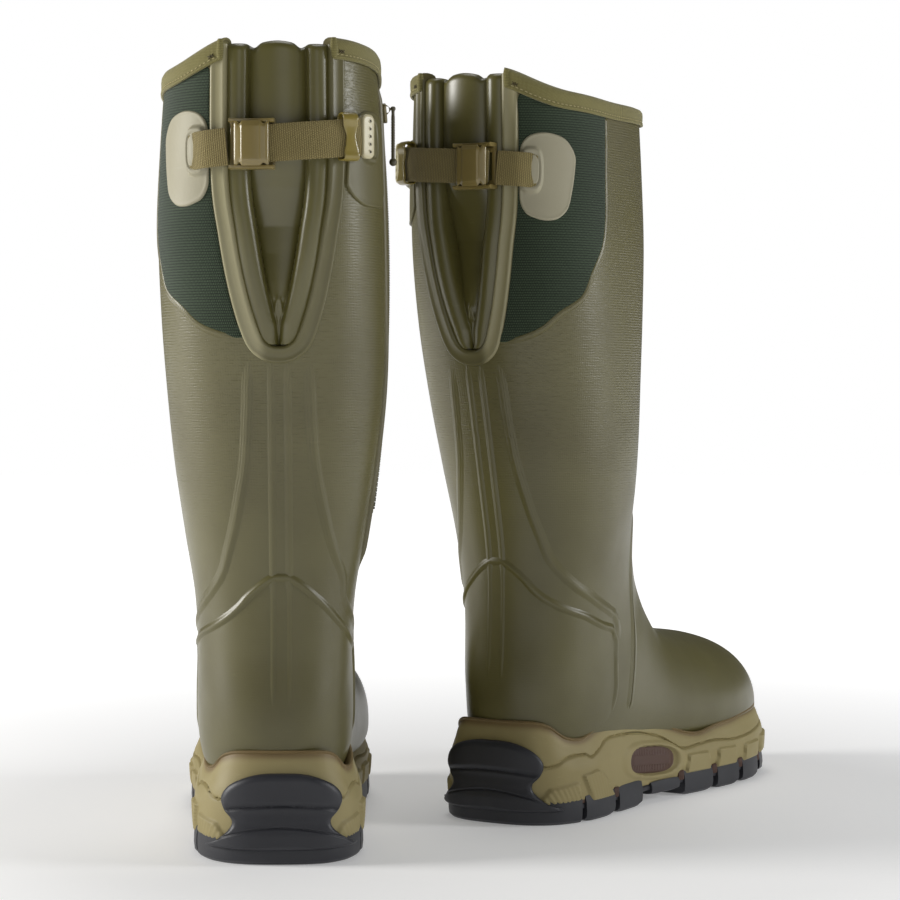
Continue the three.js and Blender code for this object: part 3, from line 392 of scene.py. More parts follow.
# A rounded bar: a superellipse section of two half sizes carried along a path.
def bar(path, side, out, halfSide, halfOut, square=2.0, around=16, taper=None):
    angle = np.linspace(0, 2 * np.pi, around, endpoint=False)
    c, s = np.cos(angle), np.sin(angle)
    a = signedPower(c, 2 / square)
    b = signedPower(s, 2 / square)
    size = np.ones(len(path)) if taper is None else taper
    halfSide = np.broadcast_to(halfSide, len(path)) * size
    halfOut = np.broadcast_to(halfOut, len(path)) * size
    loops = path[:, None] + side[:, None] * (a[None, :, None] * halfSide[:, None, None])
    return tube(loops + out[:, None] * (b[None, :, None] * halfOut[:, None, None]))


# A profile (offset across, height) carried along a line on the skin. Over the share `fade` of
# its length at each end it sinks to just below the skin.
def strip(line, profile, fade=0.06, depth=0.7, sunk=0.12):
    profile = np.asarray(profile, float)
    points = onSkin(line)
    run = np.gradient(points, axis=0)
    out = skinOut(line[:, 0], line[:, 1])
    across = np.cross(out, run)
    across /= np.linalg.norm(across, axis=1, keepdims=True)
    count = len(line)
    place = shiftOnSkin(line[:, None], across[:, None], profile[None, :, 0] * np.ones((count, 1)))
    u = np.linspace(0, 1, count)
    ends = ease(0, fade, u) * ease(0, fade, 1 - u) if fade else np.ones(count)
    high = profile[None, :, 1] * ends[:, None] - sunk * (1 - ends[:, None])
    length = runAlong(points)
    uv = np.stack(np.broadcast_arrays(length[:, None], profile[None, :, 0]), -1) / 1000
    top = raised(place[..., 0], place[..., 1], high)
    bottom = raised(place[..., 0], place[..., 1], np.minimum(high, 0) - depth)
    return between(top, bottom, uv)


skinGirth = 430  # the leg's girth, which turns a share of a turn into millimetres


# A raised area inside a closed line on the skin. Rings run from the line to its middle; edge
# gives (distance inwards, height) near the line, and shape adds height at each point.
def patch(loop, edge, rings=16, shape=None, depth=0.8):
    edge = np.asarray(edge, float)
    centre = loop.mean(0)
    radius = np.linalg.norm(onSkin(loop) - onSkin(centre), axis=1)
    near = 1 - edge[:, 0][:, None] / radius[None, :]
    inner = near[-1][None, :] * np.linspace(1, 0, rings + 1)[1:, None]
    share = np.vstack([near, inner])
    high = np.concatenate([edge[:, 1], np.full(rings, edge[-1, 1])])[:, None] * np.ones(len(loop))
    place = centre + (loop - centre)[None] * share[..., None]
    points = onSkin(place)
    if shape is not None:
        high = high + shape(points)
    uv = np.stack([place[..., 1] * skinGirth, points[..., 2]], -1) / 1000
    top = raised(place[..., 0], place[..., 1], high)
    bottom = raised(place[..., 0], place[..., 1], np.minimum(high, 0) - depth)
    return between(top, bottom, uv, wrapColumns=True, closeEnd=False)


# A rectangle about (a, b) with a quarter circle at each corner, leaned over by skew.
def roundedBox(a, b, halfA, halfB, corner, count=96, skew=0.0):
    points = []
    for sa, sb, quarter in ((1, 1, 0), (-1, 1, 1), (-1, -1, 2), (1, -1, 3)):
        angle = (quarter + np.linspace(0, 1, 5)) * np.pi / 2
        pa = a + sa * (halfA - corner) + corner * np.cos(angle)
        pb = b + sb * (halfB - corner) + corner * np.sin(angle)
        points.append(np.stack([pa + skew * (pb - b), pb], 1))
    return smoothLine(np.vstack(points), count, closed=True)


# Small copies of one shape: places (n, 3) with their three directions (n, 3, 3).
def scattered(shape, places, frames):
    points = places[:, None] + np.einsum("vk,nkc->nvc", shape["points"], frames)
    n, m = points.shape[:2]
    faces = (shape["faces"][None] + (np.arange(n) * m)[:, None, None]).reshape(-1, 4)
    return {"points": points.reshape(-1, 3), "faces": faces, "uv": np.tile(shape["uv"], (n, 1))}


# A small cushion-shaped block, closed, centred on zero.
def pebble(a, b, c, square=3.0, rows=6, columns=10):
    lat = np.linspace(-np.pi / 2, np.pi / 2, rows)[:, None]
    lon = np.linspace(0, 2 * np.pi, columns, endpoint=False)[None, :]
    power = 2 / square
    ring = signedPower(np.cos(lat), power)
    x = a * ring * signedPower(np.cos(lon), power)
    y = b * ring * signedPower(np.sin(lon), power)
    z = c * signedPower(np.sin(lat), power) * np.ones_like(lon)
    points = np.stack([x, y, z], -1)
    return facing(grid(points, points[..., :2] / 1000, wrapColumns=True))


weldDistance = 4e-6  # metres


# Builds the mesh of one piece on one boot; the mirrored boot has its faces turned round.
def buildMesh(name, part, side, weights=None):
    points = toWorld(part["points"], side)
    faces = part["faces"] if stance["mirror"][side] > 0 else part["faces"][:, ::-1]
    mesh = bpy.data.meshes.new(name)
    mesh.from_pydata(points.tolist(), [], [list(dict.fromkeys(f)) for f in faces.tolist()])
    layer = mesh.uv_layers.new(name="UVMap")
    corner = np.zeros(len(mesh.loops), np.int32)
    mesh.loops.foreach_get("vertex_index", corner)
    layer.data.foreach_set("uv", part["uv"][corner].astype(np.float32).ravel())
    for key, values in (weights or {}).items():
        attribute = mesh.attributes.new(key, "FLOAT", "POINT")
        attribute.data.foreach_set("value", values.astype(np.float32))
    b = bmesh.new()
    b.from_mesh(mesh)
    bmesh.ops.remove_doubles(b, verts=b.verts, dist=weldDistance)
    b.to_mesh(mesh)
    b.free()
    mesh.update()
    return mesh


# Adds one piece to both boots, with its material, its body and the CAD nodes it stands for. Edges
# sharper than `smooth` degrees stay sharp.
def addPiece(name, part, material, replaces=(), body="boot", smooth=60, weights=None):
    made = []
    for side in sides:
        label = side + "_" + name + "_look"
        obj = bpy.data.objects.new(label, buildMesh(label, part, side, weights))
        bpy.context.scene.collection.objects.link(obj)
        obj.data.materials.append(material)
        obj.data.shade_smooth()
        obj.data.set_sharp_from_angle(angle=math.radians(smooth))
        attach(obj, side + "_" + body)
        for node in replaces:
            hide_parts(side + "_" + node)
        made.append(obj)
    return made


# sRGB 0 to 255 as linear light.
def tone(red, green, blue):
    c = np.array([red, green, blue]) / 255
    linear = np.where(c <= 0.04045, c / 12.92, ((c + 0.055) / 1.055) ** 2.4)
    return (*[float(v) for v in linear], 1.0)


# Gives a socket a plain value, or links another node's output to it.
def feed(tree, socket, value):
    if isinstance(value, bpy.types.NodeSocket):
        tree.links.new(value, socket)
    else:
        socket.default_value = value


# Adds a node; inputs may be plain values or another node's output.
def addNode(tree, kind, inputs=None, **settings):
    node = tree.nodes.new(kind)
    for key, value in settings.items():
        setattr(node, key, value)
    for key, value in (inputs or {}).items():
        feed(tree, node.inputs[key], value)
    return node


# One step of arithmetic on two numbers.
def calc(tree, operation, a, b=0.0):
    return addNode(tree, "ShaderNodeMath", {0: a, 1: b}, operation=operation).outputs[0]


# Colour a turning into colour b as the share goes from 0 to 1.
def mixColour(tree, share, a, b):
    return addNode(tree, "ShaderNodeMix", {"Factor": share, 6: a, 7: b}, data_type="RGBA").outputs[2]


# A value's range from low to high, stretched straight over toLow to toHigh.
def spread(tree, value, low, high, toLow, toHigh):
    inputs = {"Value": value, "From Min": low, "From Max": high, "To Min": toLow, "To Max": toHigh}
    return addNode(tree, "ShaderNodeMapRange", inputs).outputs["Result"]


# An empty node group with its sockets made, and its ends.
def newGroup(name, inputs, outputs):
    tree = bpy.data.node_groups.new(name, "ShaderNodeTree")
    for label, kind, value in inputs:
        socket = tree.interface.new_socket(label, in_out="INPUT", socket_type=kind)
        if value is not None:
            socket.default_value = value
    for label in outputs:
        tree.interface.new_socket(label, in_out="OUTPUT", socket_type="NodeSocketFloat")
    start = tree.nodes.new("NodeGroupInput")
    end = tree.nodes.new("NodeGroupOutput")
    return tree, start.outputs, end.inputs


vectorSocket, floatSocket = "NodeSocketVector", "NodeSocketFloat"
wholeTurn, halfTurn = 6283.185, 3141.593  # radians over a pitch in millimetres, for lengths in metres


# Cloudy noise: its scale, octaves and roughness.
def addNoise(tree, vector, scale, detail, rough=0.5):
    inputs = {"Vector": vector, "Scale": scale, "Detail": detail, "Roughness": rough}
    return addNode(tree, "ShaderNodeTexNoise", inputs).outputs["Fac"]



grainValues = {
    "cell": 0.6, "blotchScale": 14.0, "blotchRange": (0.35, 0.68),
    "scuffScale": 55.0, "scuffRange": (0.64, 0.8), "scuffTurn": (0.4, 0.2, 0.9), "scuffStretch": (1, 1, 6),
}


# Moulded rubber: fine pebble grain, slow blotches and a few faint scuffs.
def makeGrain():
    v = grainValues
    wanted = [("Vector", vectorSocket, None), ("Size", floatSocket, 0.8)]
    tree, start, end = newGroup("grain", wanted, ["Height", "Blotch", "Scuff"])
    scale = calc(tree, "DIVIDE", 1000.0, start["Size"])
    fine = addNoise(tree, start["Vector"], scale, 3.0, 0.6)
    cells = {"Vector": start["Vector"], "Scale": scale}
    cell = addNode(tree, "ShaderNodeTexVoronoi", cells, feature="SMOOTH_F1")
    pebbles = calc(tree, "MULTIPLY", cell.outputs["Distance"], v["cell"])
    tree.links.new(calc(tree, "ADD", fine, pebbles), end["Height"])
    slow = addNoise(tree, start["Vector"], v["blotchScale"], 4.0, 0.55)
    tree.links.new(spread(tree, slow, *v["blotchRange"], 0, 1), end["Blotch"])
    turning = {"Vector": start["Vector"], "Rotation": v["scuffTurn"], "Scale": v["scuffStretch"]}
    turned = addNode(tree, "ShaderNodeMapping", turning)
    marks = addNoise(tree, turned.outputs[0], v["scuffScale"], 5.0, 0.7)
    tree.links.new(spread(tree, marks, *v["scuffRange"], 0, 1), end["Scuff"])
    return tree


printValues = {
    "wobbleScale": 120.0, "wobble": 5.0, "brokenScale": 170.0, "brokenStretch": (1, 3.5, 1),
    "brokenRange": (0.38, 0.66), "thread": 0.35,
}


# Cloth showing through thin rubber: broken rows across the leg, with a fainter upright thread.
def makePrint():
    v = printValues
    wanted = [("Vector", vectorSocket, None), ("Pitch", floatSocket, 1.6)]
    tree, start, end = newGroup("clothPrint", wanted, ["Height"])
    parts = addNode(tree, "ShaderNodeSeparateXYZ", {"Vector": start["Vector"]})
    turns = calc(tree, "DIVIDE", wholeTurn, start["Pitch"])
    wobble = addNoise(tree, start["Vector"], v["wobbleScale"], 2.0)
    shift = calc(tree, "MULTIPLY", wobble, v["wobble"])
    rows = calc(tree, "SINE", calc(tree, "ADD", calc(tree, "MULTIPLY", parts.outputs["Y"], turns), shift))
    threads = calc(tree, "SINE", calc(tree, "MULTIPLY", parts.outputs["X"], turns))
    stretched = addNode(tree, "ShaderNodeMapping", {"Vector": start["Vector"], "Scale": v["brokenStretch"]})
    broken = addNoise(tree, stretched.outputs[0], v["brokenScale"], 3.0, 0.65)
    share = spread(tree, broken, *v["brokenRange"], 0, 1)
    both = calc(tree, "ADD", rows, calc(tree, "MULTIPLY", threads, v["thread"]))
    tree.links.new(calc(tree, "MULTIPLY", both, share), end["Height"])
    return tree


weaveValues = {"ribPower": 0.6, "least": 0.55, "thread": 0.45, "crestRange": (0.45, 0.95),
               "fuzzScale": 1500.0, "leanTurn": 6.2832}


# Woven textile: ribs along U crossed by threads along V, each a sine. Each rib's threads are
# shifted from the last rib's by the share `Lean` of a thread.
def makeWeave():
    v = weaveValues
    wanted = [("Vector", vectorSocket, None), ("RibPitch", floatSocket, 2.0)]
    wanted += [("ThreadPitch", floatSocket, 1.2), ("Lean", floatSocket, 0.5)]
    tree, start, end = newGroup("weave", wanted, ["Height", "CrestHighlight", "Fuzz"])
    parts = addNode(tree, "ShaderNodeSeparateXYZ", {"Vector": start["Vector"]})
    ribTurns = calc(tree, "DIVIDE", halfTurn, start["RibPitch"])
    ribPhase = calc(tree, "MULTIPLY", parts.outputs["X"], ribTurns)
    rib = calc(tree, "ABSOLUTE", calc(tree, "SINE", ribPhase))
    threadTurns = calc(tree, "DIVIDE", wholeTurn, start["ThreadPitch"])
    ribNumber = calc(tree, "FLOOR", calc(tree, "DIVIDE", ribPhase, halfTurn / 1000))
    step = calc(tree, "MULTIPLY", ribNumber, calc(tree, "MULTIPLY", start["Lean"], v["leanTurn"]))
    threadPhase = calc(tree, "MULTIPLY", parts.outputs["Y"], threadTurns)
    thread = calc(tree, "SINE", calc(tree, "ADD", threadPhase, step))
    threadUp = calc(tree, "ADD", calc(tree, "MULTIPLY", thread, 0.5), 0.5)
    ribSoft = calc(tree, "POWER", rib, v["ribPower"])
    crossed = calc(tree, "ADD", v["least"], calc(tree, "MULTIPLY", threadUp, v["thread"]))
    tree.links.new(calc(tree, "MULTIPLY", ribSoft, crossed), end["Height"])
    # the crest mask, where the cloth is painted lighter as a highlight
    crest = calc(tree, "MULTIPLY", ribSoft, threadUp)
    tree.links.new(spread(tree, crest, *v["crestRange"], 0, 1), end["CrestHighlight"])
    tree.links.new(addNoise(tree, start["Vector"], v["fuzzScale"], 2.0), end["Fuzz"])
    return tree


grainGroup, printGroup, weaveGroup = makeGrain(), makePrint(), makeWeave()


# Places a group and gives its outputs.
def useGroup(tree, group, inputs):
    return addNode(tree, "ShaderNodeGroup", inputs, node_tree=group).outputs


# A material with its shader's plain values set, and its texture places.
def newMaterial(name, rough=0.5, sheen=0.0, coat=0.0, metal=0.0, specular=0.5):
    material = bpy.data.materials.new(name)
    material.use_nodes = True
    tree = material.node_tree
    shader = tree.nodes["Principled BSDF"]
    shader.inputs["Roughness"].default_value = rough
    shader.inputs["Metallic"].default_value = metal
    shader.inputs["Sheen Weight"].default_value = sheen
    shader.inputs["Coat Weight"].default_value = coat
    shader.inputs["Specular IOR Level"].default_value = specular
    place = tree.nodes.new("ShaderNodeTexCoord")
    return material, tree, shader, place.outputs


# Height as a tilt of the surface; distance in millimetres.
def addBump(tree, shader, height, distance, strength=1.0, normal=None):
    inputs = {"Height": height, "Distance": distance / 1000, "Strength": strength}
    if normal is not None:
        inputs["Normal"] = normal
    bumpNode = addNode(tree, "ShaderNodeBump", inputs)
    tree.links.new(bumpNode.outputs[0], shader.inputs["Normal"])
    return bumpNode.outputs[0]


rubberValues = {
    "coatRough": 0.38, "blotch": 0.45, "scuff": 0.35, "bump": 0.55, "smoother": 0.05, "rougher": 0.07,
    "printHeights": (0.17, 0.24), "printLeast": 0.12, "printPitch": 1.55, "printBump": 0.8,
    "printHollowShade": 0.32, "printRough": 0.12,
}


# Rubber in a base colour that drifts to a darker one, with worn scuffs. printed is the height in
# millimetres of the cloth print, which fades out below the ankle; the hollows between its rows are
# darkened as painted shade. A tint is an attribute's name and the colour that it brings in.
def rubberMaterial(name, base, dark, worn, rough=0.42, grain=0.7, grainHigh=0.06, printed=0.0, coat=0.12,
                   tint=None):
    v = rubberValues
    material, tree, shader, place = newMaterial(name, rough, coat=coat)
    shader.inputs["Coat Roughness"].default_value = v["coatRough"]
    g = useGroup(tree, grainGroup, {"Vector": place["Object"], "Size": grain})
    colour = mixColour(tree, calc(tree, "MULTIPLY", g["Blotch"], v["blotch"]), base, dark)
    if tint:
        share = addNode(tree, "ShaderNodeAttribute", attribute_name=tint[0])
        colour = mixColour(tree, share.outputs["Fac"], colour, tint[1])
    colour = mixColour(tree, calc(tree, "MULTIPLY", g["Scuff"], v["scuff"]), colour, worn)
    normal = addBump(tree, shader, g["Height"], grainHigh, v["bump"])
    roughness = spread(tree, g["Blotch"], 0, 1, rough - v["smoother"], rough + v["rougher"])
    if printed:
        parts = addNode(tree, "ShaderNodeSeparateXYZ", {"Vector": place["Object"]})
        leg = spread(tree, parts.outputs["Z"], *v["printHeights"], v["printLeast"], 1)
        p = useGroup(tree, printGroup, {"Vector": place["UV"], "Pitch": v["printPitch"]})
        height = calc(tree, "MULTIPLY", p["Height"], leg)
        addBump(tree, shader, height, printed, v["printBump"], normal)
        # painted shade: the hollows between the print's rows are darkened and made rougher
        low = spread(tree, height, -0.9, -0.1, v["printHollowShade"], 0)  # the hollows between the rows
        colour = mixColour(tree, low, colour, dark)
        roughness = calc(tree, "ADD", roughness, calc(tree, "MULTIPLY", low, v["printRough"]))
    tree.links.new(colour, shader.inputs["Base Color"])
    tree.links.new(roughness, shader.inputs["Roughness"])
    return material


# thread is how strongly the crests are painted lighter as a highlight
textileValues = {
    "rough": 0.85, "smoother": 0.14, "sheen": 0.15, "sheenRough": 0.5, "specular": 0.25, "grain": 0.6,
    "thread": 0.75, "blotch": 0.25, "fuzz": 0.3, "fuzzHigh": 0.25, "bump": 0.9,
}


# Cloth, tape and webbing: ribs and threads with crests painted lighter (painted highlight), hollows
# painted darker (painted shade) and a little fuzz. The pitches of rib and cross and the height are in
# millimetres; swap turns the ribs across the piece.
def textileMaterial(name, base, thread, deep, rib, cross, high, lean=0.5, swap=False):
    v = textileValues
    rough = v["rough"]
    material, tree, shader, place = newMaterial(name, rough, sheen=v["sheen"], specular=v["specular"])
    shader.inputs["Sheen Roughness"].default_value = v["sheenRough"]
    vector = place["UV"]
    if swap:
        quarter = {"Vector": vector, "Rotation": (0, 0, math.pi / 2)}
        vector = addNode(tree, "ShaderNodeMapping", quarter).outputs[0]
    w = useGroup(tree, weaveGroup, {"Vector": vector, "RibPitch": rib, "ThreadPitch": cross, "Lean": lean})
    g = useGroup(tree, grainGroup, {"Vector": place["Object"], "Size": v["grain"]})
    # painted shade: low parts of the weave take the hollow colour
    colour = mixColour(tree, spread(tree, w["Height"], 0.1, 0.6, 0, 1), deep, base)
    # painted highlight: the weave's crests take the lighter thread colour
    colour = mixColour(tree, calc(tree, "MULTIPLY", w["CrestHighlight"], v["thread"]), colour, thread)
    colour = mixColour(tree, calc(tree, "MULTIPLY", g["Blotch"], v["blotch"]), colour, deep)
    colour = mixColour(tree, spread(tree, w["Fuzz"], 0.5, 0.8, 0, v["fuzz"]), colour, thread)
    tree.links.new(colour, shader.inputs["Base Color"])
    roughness = spread(tree, w["CrestHighlight"], 0, 1, rough, rough - v["smoother"])
    tree.links.new(roughness, shader.inputs["Roughness"])
    height = calc(tree, "ADD", w["Height"], calc(tree, "MULTIPLY", w["Fuzz"], v["fuzzHigh"]))
    addBump(tree, shader, height, high, v["bump"])
    return material


plasticValues = {"coatRough": 0.2, "grain": 0.35, "blotch": 0.4, "scuff": 0.3, "lighter": 1.5,
                 "rougher": 0.2, "high": 0.02, "bump": 0.4}


# Moulded plastic or plated metal: almost smooth, with faint blotches and lighter scuffs.
def plasticMaterial(name, base, dark, rough=0.3, coat=0.3, metal=0.0):
    v = plasticValues
    material, tree, shader, place = newMaterial(name, rough, coat=coat, metal=metal)
    shader.inputs["Coat Roughness"].default_value = v["coatRough"]
    g = useGroup(tree, grainGroup, {"Vector": place["Object"], "Size": v["grain"]})
    lighter = tuple(min(c * v["lighter"], 1) for c in base[:3]) + (1,)
    colour = mixColour(tree, calc(tree, "MULTIPLY", g["Blotch"], v["blotch"]), base, dark)
    colour = mixColour(tree, calc(tree, "MULTIPLY", g["Scuff"], v["scuff"]), colour, lighter)
    tree.links.new(colour, shader.inputs["Base Color"])
    roughness = spread(tree, g["Scuff"], 0, 1, rough, rough + v["rougher"])
    tree.links.new(roughness, shader.inputs["Roughness"])
    addBump(tree, shader, g["Height"], v["high"], v["bump"])
    return material


olive = tone(91, 86, 47)
oliveDark = tone(68, 62, 30)
oliveWorn = tone(118, 112, 74)
legRubber = rubberMaterial("legRubber", olive, oliveDark, oliveWorn, rough=0.4, printed=0.11, coat=0.18)
# the band's outer side is tinted lighter: painted light on its lit side
bandRubber = rubberMaterial(
    "bandRubber", tone(92, 87, 50), oliveDark, oliveWorn, tint=("outer", tone(138, 132, 98)))
placketRubber = rubberMaterial("placketRubber", tone(84, 78, 44), oliveDark, oliveWorn, rough=0.45)
patchOlive = rubberMaterial("patchOlive", tone(90, 85, 48), oliveDark, oliveWorn, rough=0.5)
gussetRubber = rubberMaterial(
    "gussetRubber", tone(90, 85, 42), tone(66, 61, 27), oliveWorn, rough=0.34, coat=0.25, grainHigh=0.03)
patchBeige = rubberMaterial(
    "patchBeige", tone(152, 147, 124), tone(136, 130, 106), tone(168, 164, 146), rough=0.55, coat=0.04,
    grain=0.9)
midRubber = rubberMaterial(
    "midRubber", tone(150, 138, 94), tone(132, 118, 74), tone(172, 162, 120), rough=0.6, coat=0.02,
    grain=0.9, grainHigh=0.09, tint=("rimTint", tone(112, 92, 58)))
blackRubber = rubberMaterial(
    "blackRubber", tone(40, 41, 47), tone(28, 29, 33), tone(72, 73, 78), rough=0.5, coat=0.05, grain=0.8,
    grainHigh=0.08)
coreFoam = rubberMaterial(
    "coreFoam", tone(82, 56, 44), tone(58, 38, 30), tone(104, 78, 62), rough=0.6, coat=0.05)

# Each textile: its colour, its raised threads' colour (a painted highlight on the crests, also the fuzz),
# its hollows' colour (painted shade, also the blotches), the two pitches and the height.
textiles = {
    "panelCloth": (tone(37, 49, 34), tone(78, 94, 70), tone(14, 20, 13), 1.5, 1.1, 0.22, 0.5, True),
    "webTextile": (tone(126, 113, 70), tone(158, 146, 100), tone(76, 66, 36), 1.15, 0.9, 0.3),
    "rimTextile": (tone(118, 112, 66), tone(146, 140, 92), tone(82, 75, 40), 0.9, 0.8, 0.16),
    "zipTextile": (tone(62, 60, 46), tone(92, 88, 68), tone(34, 32, 24), 0.9, 0.8, 0.14),
    "linerKnit": (tone(58, 58, 52), tone(88, 88, 80), tone(30, 30, 26), 1.6, 1.6, 0.2),
    "bedFelt": (tone(74, 78, 72), tone(108, 112, 104), tone(46, 50, 46), 1.1, 1.3, 0.15, 0.3),
    "boardFibre": (tone(176, 150, 108), tone(196, 174, 134), tone(150, 124, 84), 1.4, 1.9, 0.08, 0.2),
    "threadCotton": (tone(170, 160, 112), tone(196, 188, 146), tone(120, 108, 66), 0.4, 0.4, 0.05),
    "threadDark": (tone(70, 62, 36), tone(98, 90, 58), tone(40, 34, 18), 0.4, 0.4, 0.05),
}
cloth = {name: textileMaterial(name, *look) for name, look in textiles.items()}

# Each plastic: its colour, its darker colour, roughness, coat and metal.
plastics = {
    "bucklePlastic": (tone(124, 109, 62), tone(104, 90, 48), 0.28),
    "keeperPlastic": (tone(130, 115, 50), tone(108, 94, 36), 0.3),
    "tabPlastic": (tone(182, 174, 140), tone(164, 154, 116), 0.4, 0.15),
    # painted shade for the insides of the tab's holes
    "paintedHoleShade": (tone(52, 46, 28), tone(34, 30, 18), 0.7, 0.0),
    "sliderMetal": (tone(112, 102, 66), tone(82, 74, 46), 0.32, 0.3, 0.35),
    "toothPlastic": (tone(74, 70, 50), tone(52, 48, 32), 0.35, 0.2),
    "pullerPlastic": (tone(78, 72, 50), tone(54, 50, 34), 0.42, 0.1),
    "shankSteel": (tone(172, 174, 178), tone(150, 152, 156), 0.3, 0.0, 0.9),
}
hard = {name: plasticMaterial(name, *look) for name, look in plastics.items()}
print("materials made")


# The notch in the back of the leg, seen from behind: height and half width. It is a smooth
# curve, and grow moves it out square to itself.
notchShape = np.array([
    [286.5, -6], [285, 0], [286.5, 6], [293, 11], [315, 17.5], [345, 23], [380, 27], [457, 27],
], float)


def notchCurve(grow):
    fine = throughRows(notchShape, np.linspace(1, len(notchShape) - 1, 400))
    run = np.gradient(fine, axis=0)
    run /= np.linalg.norm(run, axis=1, keepdims=True)
    return np.stack([fine[:, 0] - run[:, 1] * grow, fine[:, 1] + run[:, 0] * grow], 1)


notchReach = 0.2  # the notch never goes further round than this share of a turn


# Share of a turn from the back line to the notch's edge at section t, on one side (outer 1,
# inner -1): the first sample of the section that lies outside the notch's half width.
def notchTurn(t, grow, side):
    offs = notchReach * np.linspace(0, 1, 500) ** 2
    points = skin(t[:, None], 0.5 - side * offs[None, :])
    curve = notchCurve(grow)
    half = np.interp(points[..., 2], curve[:, 0], curve[:, 1], left=-1)
    clear = np.abs(points[..., 0]) - half
    k = np.maximum((clear < 0).sum(1), 1)
    row = np.arange(len(t))
    a, b = clear[row, k - 1], clear[row, k]
    share = np.clip(-a / np.where(b - a == 0, 1, b - a), 0, 1)
    edge = offs[k - 1] + (offs[k] - offs[k - 1]) * share
    return np.where(clear[:, 0] < 0, edge, 0.0)


# The shell's extra rows at the notch's foot, and the rings (size, push forward) that close its toe.
shellValues = {"fineRows": (15.1, 16.1, 24), "tip": ((0.0, 3.0), (0.35, 2.6), (0.7, 1.6), (0.9, 0.6))}


# A shell of the whole boot between two insets, open at the top and along the notch. Columns
# run from the notch's inner edge round the front to its outer edge; loops that shrink to a
# point close the toe.
def shellPart(outset, inset, grow, top, columns=220, rows=130):
    v = shellValues
    t = np.unique(np.concatenate([np.linspace(0, top, rows), np.linspace(*v["fineRows"])]))
    start = 0.5 + notchTurn(t, grow, -1)
    end = 1.5 - notchTurn(t, grow, 1)
    isOpen = (end - start) < 0.9999
    share = np.linspace(0, 1, columns)
    turn = start[:, None] + (end - start)[:, None] * share[None, :]

    def surface(depth):
        points = skin(t[:, None], turn, depth)
        first = points[0]
        middle = first.mean(0)
        tip = []
        for size, push in v["tip"]:
            tip.append(middle + (first - middle) * size + np.array([0, push, 0]))
        return np.concatenate([np.stack(tip), points])

    a, b = surface(outset), surface(inset)
    tipRows = len(v["tip"])
    turnAll = np.vstack([np.repeat(turn[:1], tipRows, 0), turn])
    uv = np.stack([turnAll * skinGirth, a[..., 2]], -1) / 1000
    parts = [grid(a, uv), grid(b, uv, flip=True)]
    parts.append(grid(np.stack([a[-1], b[-1]]), np.stack([uv[-1], uv[-1]])))
    rowsOpen = np.concatenate([[False] * tipRows, isOpen])
    first = np.argmax(rowsOpen) - 1
    for j, flip in ((0, False), (-1, True)):
        wall = np.stack([a[first:, j], b[first:, j]])
        parts.append(grid(wall, np.stack([uv[first:, j], uv[first:, j]]), flip=flip))
    return joined(parts)


bandValues = {"width": 9.0, "proud": 1.0}

# Upper: one rubber skin, with the raised lines that run over it. Lines are (y, z) from the side
# or (x, z) from behind; profiles are (offset across, height).
upperValues = {
    "wall": 2.2,
    "counterLine": [(63, 62), (67, 80), (67.5, 102), (66, 110), (57, 116.5), (34, 124.5)],
    "counterBend": [(27, 138), (18, 147.5), (9, 155)],
    "counterBack": 158.5,
    "counterProfile": [(-3.6, -0.12), (-2.2, 0.15), (-1.4, 0.8), (-0.6, 1.15), (0.4, 1.15), (1.2, 0.8),
                       (2.0, 0.15), (3.2, -0.12)],
    "legBack": [(16.5, 282), (17, 268), (18, 240), (20, 217), (25, 190), (29.5, 172), (34, 158)],
    "legSide": [(25, 144), (39, 135.5), (57, 127), (69, 119.4), (74, 105)],
    "legProfile": [(-4, -0.1), (-2.4, 0.15), (-1.0, 0.85), (0.3, 0.95), (1.8, 0.4), (4.5, -0.1)],
    "ribGap": 4.6,
    "ribHeights": (284, 262, 235, 200, 165, 130, 100, 75),
    "ribProfile": [(-2.6, -0.1), (-1.5, 0.25), (-0.5, 0.75), (0.5, 0.75), (1.5, 0.25), (2.6, -0.1)],
    "vampLine": [(84, 62), (87, 76), (90, 91), (93, 106), (94.5, 120), (95.5, 156), (98, 172), (106, 186),
                 (118, 196)],
    "vampProfile": [(-5, -0.1), (-2.4, 0.4), (-0.9, 0.85), (-0.45, 0.7), (-0.2, -0.3), (0.2, -0.3),
                    (0.45, 0.75), (0.9, 0.9), (2.2, 0.45), (4.5, -0.1)],
}


# The heel counter's upper line: up one side, over the back and down the other.
def counterControl():
    v = upperValues
    halves = []
    for s in (1, -1):
        flank = locate("side", v["counterLine"], s > 0)
        bend = locate("back", [(x * s, z) for x, z in v["counterBend"]])
        halves.append(np.vstack([flank, bend]))
    middle = locate("back", [(0.0, v["counterBack"])])
    return np.vstack([halves[0], middle, halves[1][::-1]])


# The skin with its ridges: the counter's line, two leg ridges, the two back ribs and the vamp's
# folded edge on each side.
def upperPart():
    v = upperValues
    parts = [shellPart(0.0, v["wall"], bandValues["width"] / 2, topRow)]
    # heel counter: up from the sole on the outer side, over the back, down on the inner side
    control = counterControl()
    parts.append(strip(smoothLine(control, 260), v["counterProfile"], 0.03))
    # a second ridge from each lower corner of the notch band down the leg and round the ankle
    for s in (1, -1):
        backShare = locate("back", [(x * s, z) for x, z in v["legBack"]])
        sideShare = locate("side", v["legSide"], s > 0)
        line = smoothLine(np.vstack([backShare, sideShare]), 240)
        parts.append(strip(line, v["legProfile"], 0.1))
        back = [(s * v["ribGap"], z) for z in v["ribHeights"]]
        parts.append(strip(lineOnSkin("back", back, 140), v["ribProfile"], 0.12))
    for outer in (True, False):
        line = lineOnSkin("side", v["vampLine"], 120, outer)
        parts.append(strip(line, v["vampProfile"], 0.04))
    return joined(parts)


addPiece("upper", upperPart(), legRubber, ("foot_shell", "shaft_shell"), smooth=50)
print("upper made")


